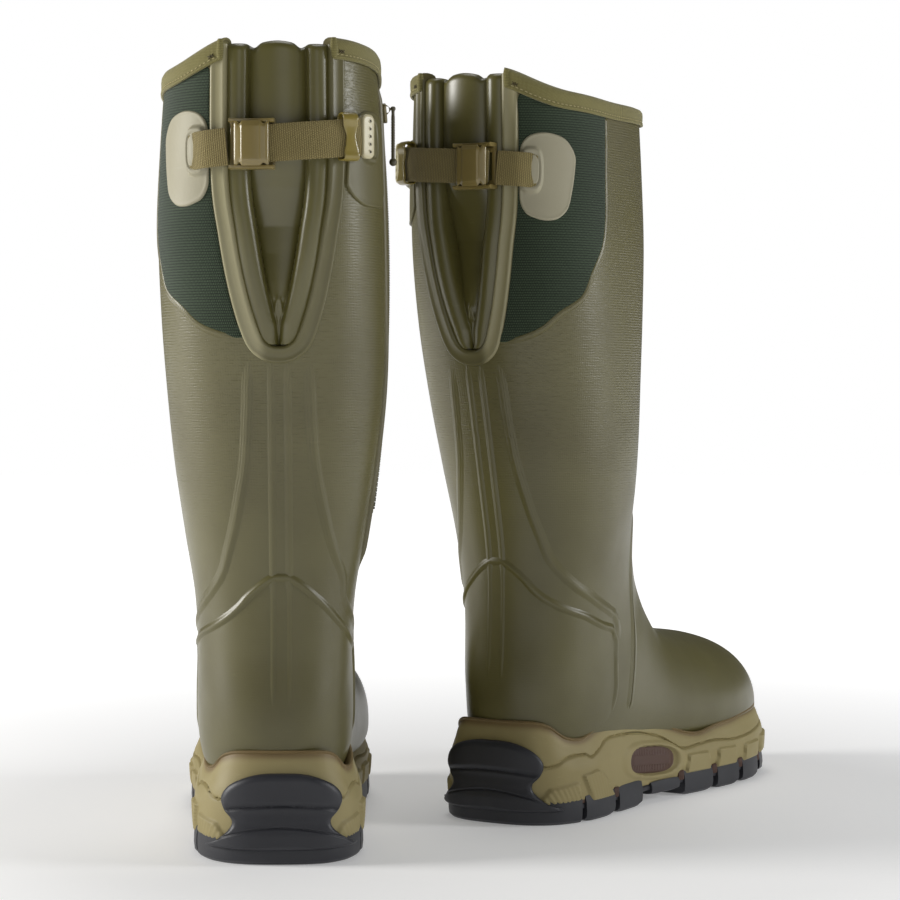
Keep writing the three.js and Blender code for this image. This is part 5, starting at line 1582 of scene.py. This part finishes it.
# Along the strap, places are shares of a turn round the leg from its front: the back is 0.5.
strapValues = {
    "row": 17.75, "height": 393.3, "rise": 0.09, "clear": 6.6, "layer": 2.2, "width": 20.0, "thickness": 1.4,
    "anchor": 0.405, "anchorEnd": 0.463, "buckle": 0.487, "fold": 0.476, "keeper": 0.58, "tab": 0.604,
    "tabAhead": 0.012, "inner": 0.63, "under": 1.2,
}


# The strap's middle height falls evenly towards the outer side.
def strapHeightAt(x):
    return strapValues["height"] - x * strapValues["rise"]


# A patch with a thick edge; its pocket is a raised squarish pad with a groove round it.
def sidePatch(s):
    v = patchValues
    if s > 0:
        loop = locate("back", smoothLine(v["outer"], 220, closed=True))
        axis, middle, half = 0, v["pocketX"], v["pocketHalf"]["outer"]
    else:
        box = roundedBox(v["innerY"], v["height"], v["wide"], v["tall"], v["corner"], 220, skew=0.04)
        loop = locate("side", box, False)
        axis, middle, half = 1, v["pocketY"], v["pocketHalf"]["inner"]
    pocketZ = strapHeightAt(42 * s)

    def pocket(points):
        a, b = (points[..., axis] - middle) / half, (points[..., 2] - pocketZ) / v["pocketTall"]
        reach = (np.abs(a) ** 3.2 + np.abs(b) ** 3.2) ** (1 / 3.2)
        pad = v["pocketHigh"] * ease(1.12, 0.9, reach)
        return pad - 0.55 * bump(reach, 0.72, 0.1) + 0.25 * ease(0.6, 0.2, reach)

    thick = v["thick"]
    edge = [(0, -0.1), (0.15, 0.7), (0.6, thick), (1.3, thick + 0.12), (2.0, thick - 0.08), (3, thick - 0.1)]
    return patch(loop, edge, rings=44, shape=pocket)


addPiece("outerPatch", sidePatch(1), patchBeige, ("outer_patch",))
addPiece("innerPatch", sidePatch(-1), patchOlive, ("inner_patch",))


# A line round the back of the leg at the strap's height, clear of the skin, sagging in an arc.
def strapLine(start, end, clear, count, sag=0.0):
    turn = np.linspace(start, end, count)
    path = skin(np.full(count, strapValues["row"]), turn, -np.asarray(clear, float))
    path[:, 2] = strapHeightAt(path[:, 0]) - sag * np.sin(np.linspace(0, np.pi, count))
    return path


# Directions along, up and outwards at each point of a path round the leg.
def strapFrame(path):
    run = np.gradient(path, axis=0)
    run /= np.linalg.norm(run, axis=1, keepdims=True)
    up = np.broadcast_to([0.0, 0.0, 1.0], run.shape)
    up = up - run * (run * up).sum(1, keepdims=True)
    up /= np.linalg.norm(up, axis=1, keepdims=True)
    return run, up, np.cross(run, up)


webEdge = {"deep": 0.008, "pitch": 2.3}


# Webbing: a flat section with rounded, slightly scalloped edges; U runs along it, V across.
def webbing(path, width, thickness, around=22):
    run, up, out = strapFrame(path)
    length = runAlong(path)
    scallop = 1 + webEdge["deep"] * np.sin(length * 2 * np.pi / webEdge["pitch"])
    half = np.linspace(-1, 1, around // 2)
    a = np.concatenate([half, half[::-1]])
    b = np.concatenate([np.ones(around // 2), -np.ones(around // 2)])
    b = b * np.clip(1.15 - np.abs(a) ** 10, 0.25, 1)
    wide = up[:, None] * (a[None, :, None] * width / 2 * scallop[:, None, None])
    thick = out[:, None] * (b[None, :, None] * thickness / 2)
    part = tube(path[:, None] + wide + thick)
    n = len(path) * len(a)
    uv = np.stack(np.broadcast_arrays(length[:, None], a[None] * width / 2), -1)
    part["uv"][:n] = uv.reshape(-1, 2) / 1000
    return part


# The same path with its points evenly spaced.
def evenPath(path, step=1.2):
    run = runAlong(path)
    return pointsAt(np.linspace(0, run[-1], int(run[-1] / step) + 2), run, path)


# The long piece runs under the buckle, folds over its bar and comes back on top to the tab; the
# short piece leaves the outer patch and rises to the buckle.
def strapParts():
    v = strapValues
    inner = v["clear"] - v["under"]
    # the loose outer layer swells a little between the buckle and the keeper
    count = 60
    share = np.linspace(0, 1, count)
    under = strapLine(v["inner"], v["fold"], inner - 2.2 * ease(0.12, 0, share), count, 0.5)
    swell = 0.7 * np.sin(share * np.pi) ** 2
    over = strapLine(v["fold"], v["tab"], inner + v["layer"] + swell, count, 0.9)
    fold = strapLine(v["fold"] - 0.004, v["fold"] - 0.004, inner + v["layer"] / 2, 1)
    longPath = evenPath(np.vstack([under, fold, over]))
    leave = ease(0, 0.6, np.linspace(0, 1, 30))
    shortPath = evenPath(strapLine(v["anchor"], v["anchorEnd"], 2.6 + (v["clear"] - 3.6) * leave, 30))
    return [webbing(path, v["width"], v["thickness"]) for path in (longPath, shortPath)]


strapPart, anchorPart = strapParts()
addPiece("strap", strapPart, cloth["webTextile"], ("strap",), smooth=70)
addPiece("strapAnchor", anchorPart, cloth["webTextile"], ("strap_anchor",), smooth=70)

middleClear = strapValues["clear"] - strapValues["under"] + strapValues["layer"] / 2


# A place on the strap, with its directions towards the outer side and inwards to the leg.
def strapPlace(turn, clear):
    at = skin(strapValues["row"], turn, -clear)
    near = skin(strapValues["row"], turn - 0.01, -clear)
    at[2] = strapHeightAt(at[0])
    run = near - at
    run[2] = 0
    run /= np.linalg.norm(run)
    inward = np.array([-run[1], run[0], 0.0])
    return at, run, inward


# Moves a part from its own axes (along the strap, inwards, up) to its place on the strap.
def inFrame(part, at, a, b):
    p = part["points"]
    part["points"] = at + p[:, :1] * a + p[:, 1:2] * b + p[:, 2:] * np.array([0, 0, 1.0])
    return facing(part)


buckleValues = {"length": 24, "railIn": 11.4, "railOut": 13.2, "railTop": 5.0, "plate": (3.2, 5.0),
                "innerRail": 9.6, "barWide": 2.6, "cam": (-8, -3.8), "lever": 17.2, "flange": 11.9}


# Frame: two side rails that stand higher at both ends, a bar across each end and two inner rails.
def buckleFramePart():
    v = buckleValues
    half = v["length"] / 2
    parts = []
    a = np.linspace(-half, half, 25)
    plateMiddle = sum(v["plate"]) / 2
    upward, inwards, ahead = [0, 0, 1.0], [0, 1.0, 0], [1.0, 0, 0]
    for s in (1, -1):
        path = np.stack([a, np.full(25, 0.0), np.full(25, s * (v["railIn"] + v["railOut"]) / 2)], 1)
        shape = 0.72 + 0.28 * np.abs(a / half) ** 2
        front = -v["railTop"] * (0.62 + 0.38 * np.abs(a / half) ** 1.5)
        path[:, 1] = (front + v["plate"][1]) / 2
        side, out = np.tile(upward, (25, 1)), np.tile(inwards, (25, 1))
        parts.append(bar(path, side, out, 0.9 + 0.25 * shape, (v["plate"][1] - front) / 2, 5.0, 20))
    c = np.linspace(-v["railIn"], v["railIn"], 13)
    for middle in (-half + v["barWide"] / 2, half - v["barWide"] / 2):
        path = np.stack([np.full(13, middle), np.full(13, plateMiddle), c], 1)
        side, out = np.tile(ahead, (13, 1)), np.tile(inwards, (13, 1))
        parts.append(bar(path, side, out, v["barWide"] / 2, 0.9, 4.0, 16))
    for s in (1, -1):
        path = np.stack([a, np.full(25, plateMiddle), np.full(25, s * v["innerRail"])], 1)
        side, out = np.tile(upward, (25, 1)), np.tile(inwards, (25, 1))
        parts.append(bar(path, side, out, 1.5, 0.85, 4.0, 14))
    return joined(parts)


at, run, inward = strapPlace(strapValues["buckle"], middleClear)
framePart = inFrame(buckleFramePart(), at, run, inward)
addPiece("buckleFrame", framePart, hard["bucklePlastic"], ("buckle_frame",), smooth=40)


# Lever: a cover plate that is deepest in the middle of its length, with its corners notched
# in beside both ends and a shallow step across it.
def leverPart():
    v = buckleValues
    camX, camY = v["cam"]
    rows, columns = 60, 45
    a = np.linspace(0, 1, rows)[:, None]
    c = np.linspace(-1, 1, columns)[None, :]
    length = v["lever"]
    x = camX - 1.4 + (length + 1.4) * a
    notch = bump(a, 0.14, 0.12) * 1.5 + bump(a, 0.84, 0.09) * 1.7
    halfTall = v["flange"] - notch + 0 * c
    z = halfTall * c
    arch = 0.9 * (1 - (2 * a - 1) ** 2) - 0.7 * bump(a, 0.95, 0.18)
    edge = 1.1 * (np.abs(c) ** 8) + 1.0 * (np.abs(2 * a - 1) ** 14)
    step = 0.5 * ease(0.22, 0.27, a) * ease(0.80, 0.75, a) * ease(0.86, 0.78, np.abs(c))
    outY = camY - 2.6 - arch - step + edge
    flange = 1.9 * ease(0.88, 0.94, np.abs(c))
    inY = camY + 0.2 - 0.4 * arch - flange + 1.0 * bump(a, 0.07, 0.1) * ease(0.94, 0.88, np.abs(c))
    x = x + 0 * c
    top = np.stack([x, outY, z], -1)
    bottom = np.stack([x, inY + 0 * c, z], -1)
    uv = np.stack([x, z], -1) / 1000
    return between(top, bottom, uv)


addPiece("buckleLever", inFrame(leverPart(), at, run, inward), hard["bucklePlastic"], ("buckle_lever",),
         body="buckle_lever", smooth=50)

# Keeper: a spring clip bent round both layers, pinched in its middle, with a rolled hook on top.
keeperValues = {"width": 9.0, "tall": 24.5, "proud": 3.7, "wall": 1.3, "pinch": 0.42, "lean": 1.5}


# A rounded loop round the strap, with a flat section carried along it; the front is narrower in
# its middle and leans a little.
def keeperPart():
    v = keeperValues
    angle = np.linspace(0, 2 * np.pi, 90, endpoint=False)
    c, s = np.cos(angle), np.sin(angle)
    b = -v["proud"] * signedPower(c, 0.5)
    z = v["tall"] / 2 * signedPower(s, 0.35)
    front = c > 0
    pinch = 1 - v["pinch"] * bump(z, -1.0, 8.0) * front
    lean = v["lean"] * (z / v["tall"]) * front
    b = b - 1.2 * bump(z, v["tall"] / 2 - 2.5, 5) * front - 0.7 * bump(z, -v["tall"] / 2 + 1.5, 3) * front
    path = np.stack([lean, b, z], 1)
    run = np.roll(path, -1, 0) - np.roll(path, 1, 0)
    run /= np.linalg.norm(run, axis=1, keepdims=True)
    side = np.tile([1.0, 0, 0], (90, 1))
    out = np.cross(run, side)
    out /= np.linalg.norm(out, axis=1, keepdims=True)
    section = np.linspace(0, 2 * np.pi, 16, endpoint=False)
    a = signedPower(np.cos(section), 0.4)
    d = signedPower(np.sin(section), 0.6)
    wide = side[:, None] * (a[None, :, None] * (v["width"] / 2 * pinch)[:, None, None])
    loops = path[:, None] + wide + out[:, None] * (d[None, :, None] * v["wall"] / 2)
    uv = loops[..., [0, 2]] / 1000
    return facing(grid(loops, uv, wrapColumns=True, wrapRows=True))


at, run, inward = strapPlace(strapValues["keeper"], middleClear)
clipPart = inFrame(keeperPart(), at, run, inward)
addPiece("strapKeeper", clipPart, hard["keeperPlastic"], ("strap_keeper",), smooth=50)

# Tab: a moulded end piece with rounded corners and five small holes with raised rims.
tabValues = {"length": 8.6, "tall": 23.6, "corner": 3.2, "thick": 1.55, "holes": 5, "pitch": 4.1,
             "hole": 0.75, "holeAside": 1.0}


# The plate is a rounded outline shrunk to its middle on both faces; each hole has a raised rim
# and a dark floor: a disc of painted shade on the solid plate.
def tabParts():
    v = tabValues
    count = 120
    loop = roundedBox(0, 0, v["length"] / 2, v["tall"] / 2, v["corner"], count)
    rings = []
    outside = [(0.0, 1.0), (0.5, 1.0), (0.86, 1.0), (0.95, 0.92), (1.0, 0.6)]
    for share, high in outside + [(share, -high) for share, high in outside[::-1]]:
        ring = loop * share
        rings.append(np.stack([ring[:, 0], np.full(count, -v["thick"] * high), ring[:, 1]], 1))
    points = np.stack(rings)
    plate = facing(grid(points, points[..., [0, 2]] / 1000, wrapColumns=True))
    rims, holes = [], []
    angle = np.linspace(0, 2 * np.pi, 20, endpoint=False)
    for i in range(v["holes"]):
        z = (i - (v["holes"] - 1) / 2) * v["pitch"]
        rings = []
        hole = v["hole"]
        rim = [(hole + 0.1, 0.25), (hole + 0.4, 0.25), (hole + 0.6, -0.2)]
        for radius, high in [(0.0, 0.02), (hole, 0.02)] + rim + [(0.0, -0.2)]:
            x, up = radius * np.cos(angle) - v["holeAside"], z + radius * np.sin(angle)
            rings.append(np.stack([x, np.full(20, -v["thick"] - high), up], 1))
        ring = np.stack(rings)
        rims.append(facing(grid(ring[1:5], ring[1:5, :, [0, 2]] / 1000, wrapColumns=True)))
        # painted shade: a dark disc stands for the inside of each hole
        disc = np.stack([ring[0], ring[1], ring[1] + [0, 0.4, 0], ring[0] + [0, 0.4, 0]])
        disc[..., 1] -= 0.03
        holes.append(facing(grid(disc, disc[..., [0, 2]] / 1000, wrapColumns=True)))
    return joined([plate] + rims), joined(holes)


tabPlate, tabHoleShadows = tabParts()
tabTurn = strapValues["tab"] + strapValues["tabAhead"]
at, run, inward = strapPlace(tabTurn, middleClear + strapValues["layer"] / 2)
tabPart = inFrame(tabPlate, at, run, inward)
addPiece("strapTab", tabPart, hard["tabPlastic"], ("strap_tab",), smooth=50)
addPiece("tabHoleShadows", inFrame(tabHoleShadows, at, run, inward), hard["paintedHoleShade"], smooth=50)
print("strap and buckle made")

# The zip's middle line lies on one long arc; across runs over the tape, out away from the leg.
zipValues = {"radius": 1000, "crest": 325, "out": 59.2, "low": 190, "high": 433, "lean": 0.048, "wide": 12.0,
             "wall": 1.8, "tooth": 2.8, "sliderTop": 424, "sliderLong": 11, "pullerLong": 30, "seam": 4.6,
             "middleY": 50, "middleZ": 440, "bridgeDown": 3.5}
zipStep = np.array([0, -zipValues["lean"], 1.0])
zipStep /= np.linalg.norm(zipStep)


# The zip leans: its distance along the foot grows evenly as it goes down.
def zipMiddleY(z):
    return zipValues["middleY"] + (zipValues["middleZ"] - z) * zipValues["lean"]


# The zip's place and directions at a height: the arc lies in the plane of its own upward step
# and the boot's X.
def zipFrame(z, out=0.0):
    v = zipValues
    centre = np.array([v["radius"] - v["out"], zipMiddleY(v["crest"]), v["crest"]])
    angle = np.arcsin((np.asarray(z, float) - v["crest"]) / zipStep[2] / v["radius"])[..., None]
    outward = -np.cos(angle) * np.array([1.0, 0, 0]) + np.sin(angle) * zipStep
    along = np.sin(angle) * np.array([1.0, 0, 0]) + np.cos(angle) * zipStep
    across = np.cross(np.array([1.0, 0, 0]), zipStep)
    at = centre + outward * (v["radius"] + np.asarray(out, float)[..., None])
    return at, along, np.broadcast_to(across, at.shape), outward


# The tape is a flat section carried down the arc, with teeth on it and a seam down each side.
def zipParts():
    v = zipValues
    z = np.linspace(v["low"], v["high"], 160)
    at, along, across, out = zipFrame(z, np.full(160, -v["wall"] / 2))
    half = np.linspace(-1, 1, 12)
    a = np.concatenate([half, half[::-1]]) * v["wide"] / 2
    b = np.concatenate([np.ones(12), -np.ones(12)]) * v["wall"] / 2
    b[:12] -= 0.5 * np.abs(half) ** 6
    loops = at[:, None] + across[:, None] * a[None, :, None] + out[:, None] * b[None, :, None]
    tape = tube(loops)
    run = np.linspace(0, v["high"] - v["low"], 160)
    tapeUv = np.stack(np.broadcast_arrays(run[:, None], a[None]), -1).reshape(-1, 2) / 1000
    tape["uv"][: len(tapeUv)] = tapeUv
    # teeth: small cushions that lean over the middle line by turns
    zTooth = np.arange(v["low"] + 4, v["high"] - 4, v["tooth"] / 2)
    turnAbout = np.where(np.arange(len(zTooth)) % 2 == 0, 1.0, -1.0)[:, None]
    at, along, across, out = zipFrame(zTooth, np.full(len(zTooth), 0.35))
    tooth = pebble(1.55, 0.62, 0.75, 4.0, 5, 10)
    teeth = scattered(tooth, at + across * turnAbout * 0.75, np.stack([across, along, out], 1))
    seam = []
    for s in (1, -1):
        at, along, across, out = zipFrame(np.linspace(v["low"] + 1, v["high"] - 1, 120), np.full(120, 0.0))
        seam.append(stitchRow(at + across * s * v["seam"] + out * 0.1, out, 2.4, 1.7, 0.24))
    return tape, teeth, joined(seam)


zipTape, zipTeeth, zipSeam = zipParts()
addPiece("zipTape", zipTape, cloth["zipTextile"], ("zip_tape",))
addPiece("zipTeeth", zipTeeth, hard["toothPlastic"], smooth=80)
addPiece("zipSeams", zipSeam, cloth["threadDark"], smooth=80)

placketValues = {"behind": 11.5, "low": 158, "high": 436, "half": 4.0, "proud": 2.2}


# Placket: a flat-topped rubber ridge behind the zip that sinks in at both ends.
def placketPart():
    v = placketValues
    z = np.linspace(v["low"], v["high"], 80)
    line = locate("side", np.stack([zipMiddleY(z) - v["behind"], z], 1), False)
    h, p = v["half"], v["proud"]
    near = [(-h - 0.6, -0.3), (-h, 0.6), (-h + 1.0, p - 0.3), (-h + 2.4, p)]
    far = [(h - 2.4, p), (h - 1.0, p - 0.35), (h, 0.5), (h + 0.7, -0.3)]
    return strip(line, near + [(0, p + 0.05)] + far, 0.05)


addPiece("zipPlacket", placketPart(), placketRubber, ("zip_placket",))


# Slider: a domed body with a waist and a raised bridge for the puller.
def sliderPart():
    v = zipValues
    low = v["sliderTop"] - v["sliderLong"]
    rows = 26
    z = np.linspace(low, v["sliderTop"], rows)
    share = np.linspace(0, 1, rows)
    at, along, across, out = zipFrame(z, np.full(rows, 2.5))
    half = (2.6 + 1.6 * ease(0.1, 0.75, share)) * (1 - 0.25 * np.abs(2 * share - 1) ** 10)
    body = bar(at, across, out, half, 1.25, 3.4, 24, 1 - 0.3 * np.abs(2 * share - 1) ** 12)
    rows = 20
    angle = np.linspace(0, np.pi, rows)
    z = v["sliderTop"] - v["bridgeDown"] - 2.3 * np.cos(angle)
    at, along, across, out = zipFrame(z, 3.4 + 2.3 * np.sin(angle))
    bridgeOut = out * np.sin(angle)[:, None] + along * np.cos(angle)[:, None]
    return joined([body, bar(at, across, bridgeOut, 0.95, 0.5, 3.0, 14)])


# Puller: a thin moulded pull with a knot at its top, a ribbed grip and a ball end.
def pullerPart():
    v = zipValues
    top, _, across, _ = zipFrame(np.array([v["sliderTop"] - v["bridgeDown"]]), np.array([7.5]))
    rows = 90
    drop = np.linspace(0, v["pullerLong"], rows)
    path = top - drop[:, None] * zipStep
    ribs = 0.12 * np.cos(drop * 2 * np.pi / 1.5) * ease(5, 7, drop) * ease(26, 24, drop)
    size = 1.05 - 0.15 * bump(drop, 2.5, 2.5) + ribs
    side = np.repeat(across, rows, 0)
    out = np.tile([-1.0, 0, 0], (rows, 1))
    taper = np.clip(np.sin(np.linspace(0.25, np.pi - 0.2, rows)) * 4, 0, 1)
    stem = bar(path, side, out, size, size, 2.0, 16, taper)
    ball = pebble(2.2, 2.2, 2.3, 2.0, 14, 20)
    ball["points"] = ball["points"] + path[-1]
    knot = pebble(1.5, 1.5, 1.3, 2.4, 10, 16)
    knot["points"] = knot["points"] + path[0] + zipStep * 0.2
    return joined([stem, ball, knot])


addPiece("zipSlider", sliderPart(), hard["sliderMetal"], ("zip_slider",), body="zip_slider",
         smooth=45)
addPiece("zipPuller", pullerPart(), hard["pullerPlastic"], ("zip_puller",), body="zip_puller")
print("zip made")

# Footbed: a foam insole that fills the foot room, dished at the heel, with a rolled edge.
footbedValues = {
    "low": 36.3, "high": 41.6, "inset": 7.9, "section": 39.0, "centre": (2.0, 150.0),
    "dish": (1.3, 45, 26, 20),
    "edge": [(0.0, 1.0), (0.3, 1.0), (0.55, 1.0), (0.75, 1.0), (0.88, 1.0), (0.95, 0.96), (0.985, 0.8),
             (1.0, 0.5), (0.985, 0.15), (0.95, 0.0), (0.5, 0.0), (0.0, 0.0)],
}


# The room's outline at one height, found from the skin inside its walls and evened out, then
# shrunk in rings to a centre; the heel's dish is a bell curve.
def footbedPart():
    v = footbedValues
    points = skin(searchT, searchTurn, v["inset"]).reshape(-1, 3)
    level = points[np.abs(points[:, 2] - v["section"]) < 1.2]
    y = np.linspace(level[:, 1].min() + 1.5, level[:, 1].max() - 1.5, 60)
    reach = []
    for s in (1, -1):
        side = np.array([(level[np.abs(level[:, 1] - at) < 5.0, 0] * s).max() for at in y])
        reach.append(np.convolve(np.pad(side, 3, "edge"), np.ones(7) / 7, "valid"))
    outer, inner = np.stack([reach[0], y], 1), np.stack([-reach[1], y], 1)
    loop = smoothLine(np.vstack([outer[::3], inner[::-1][::3]]), 200, closed=True)
    centre = np.array(v["centre"])
    deep, dishY, dishLong, dishWide = v["dish"]
    rings = []
    for share, high in v["edge"]:
        ring = centre + (loop - centre) * share
        z = v["low"] + (v["high"] - v["low"]) * high
        bell = np.exp(-((ring[:, 1] - dishY) / dishLong) ** 2 - (ring[:, 0] / dishWide) ** 2)
        dish = deep * bell * (high > 0.9)
        rings.append(np.stack([ring[:, 0], ring[:, 1], z - dish], 1))
    points = np.stack(rings)
    return facing(grid(points, points[..., :2] / 1000, wrapColumns=True))


beds = addPiece("footbed", footbedPart(), cloth["bedFelt"], ("footbed",))

# The hidden core, shank and board keep their solids and take finished materials.
hidden = {"sole_core": coreFoam, "shank": hard["shankSteel"], "insole_board": cloth["boardFibre"]}
for side in sides:
    for node, material in hidden.items():
        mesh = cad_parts[side + "_" + node].data
        mesh.materials.clear()
        mesh.materials.append(material)
print("inner pieces made")

# A plain pale floor. The paper glows more with distance from the boots, so it runs into the
# backdrop without a line.
floorValues = {"half": 6, "shades": (0.8, 0.84), "near": 0.3, "far": 1.3, "glow": (0.22, 1.0)}
floorHalf = floorValues["half"]
floorCorners = [(x * floorHalf, y * floorHalf, 0) for x, y in ((-1, -1), (1, -1), (1, 1), (-1, 1))]
floorMesh = bpy.data.meshes.new("floor")
floorMesh.from_pydata(floorCorners, [], [(0, 1, 2, 3)])
floor = bpy.data.objects.new("floor", floorMesh)
bpy.context.scene.collection.objects.link(floor)
floorMaterial, floorTree, floorShader, floorPlace = newMaterial("floorPaper", rough=0.7)
paper = addNoise(floorTree, floorPlace["Object"], 3.0, 2.0)
darker, paler = ((shade, shade, shade, 1) for shade in floorValues["shades"])
floorTree.links.new(mixColour(floorTree, paper, darker, paler), floorShader.inputs["Base Color"])
floorShader.inputs["Emission Color"].default_value = (1, 1, 1, 1)
away = addNode(floorTree, "ShaderNodeVectorMath", {0: floorPlace["Object"]}, operation="LENGTH")
fades = (floorValues["near"], floorValues["far"], *floorValues["glow"])
glow = spread(floorTree, away.outputs["Value"], *fades)
floorTree.links.new(glow, floorShader.inputs["Emission Strength"])
floorMesh.materials.append(floorMaterial)
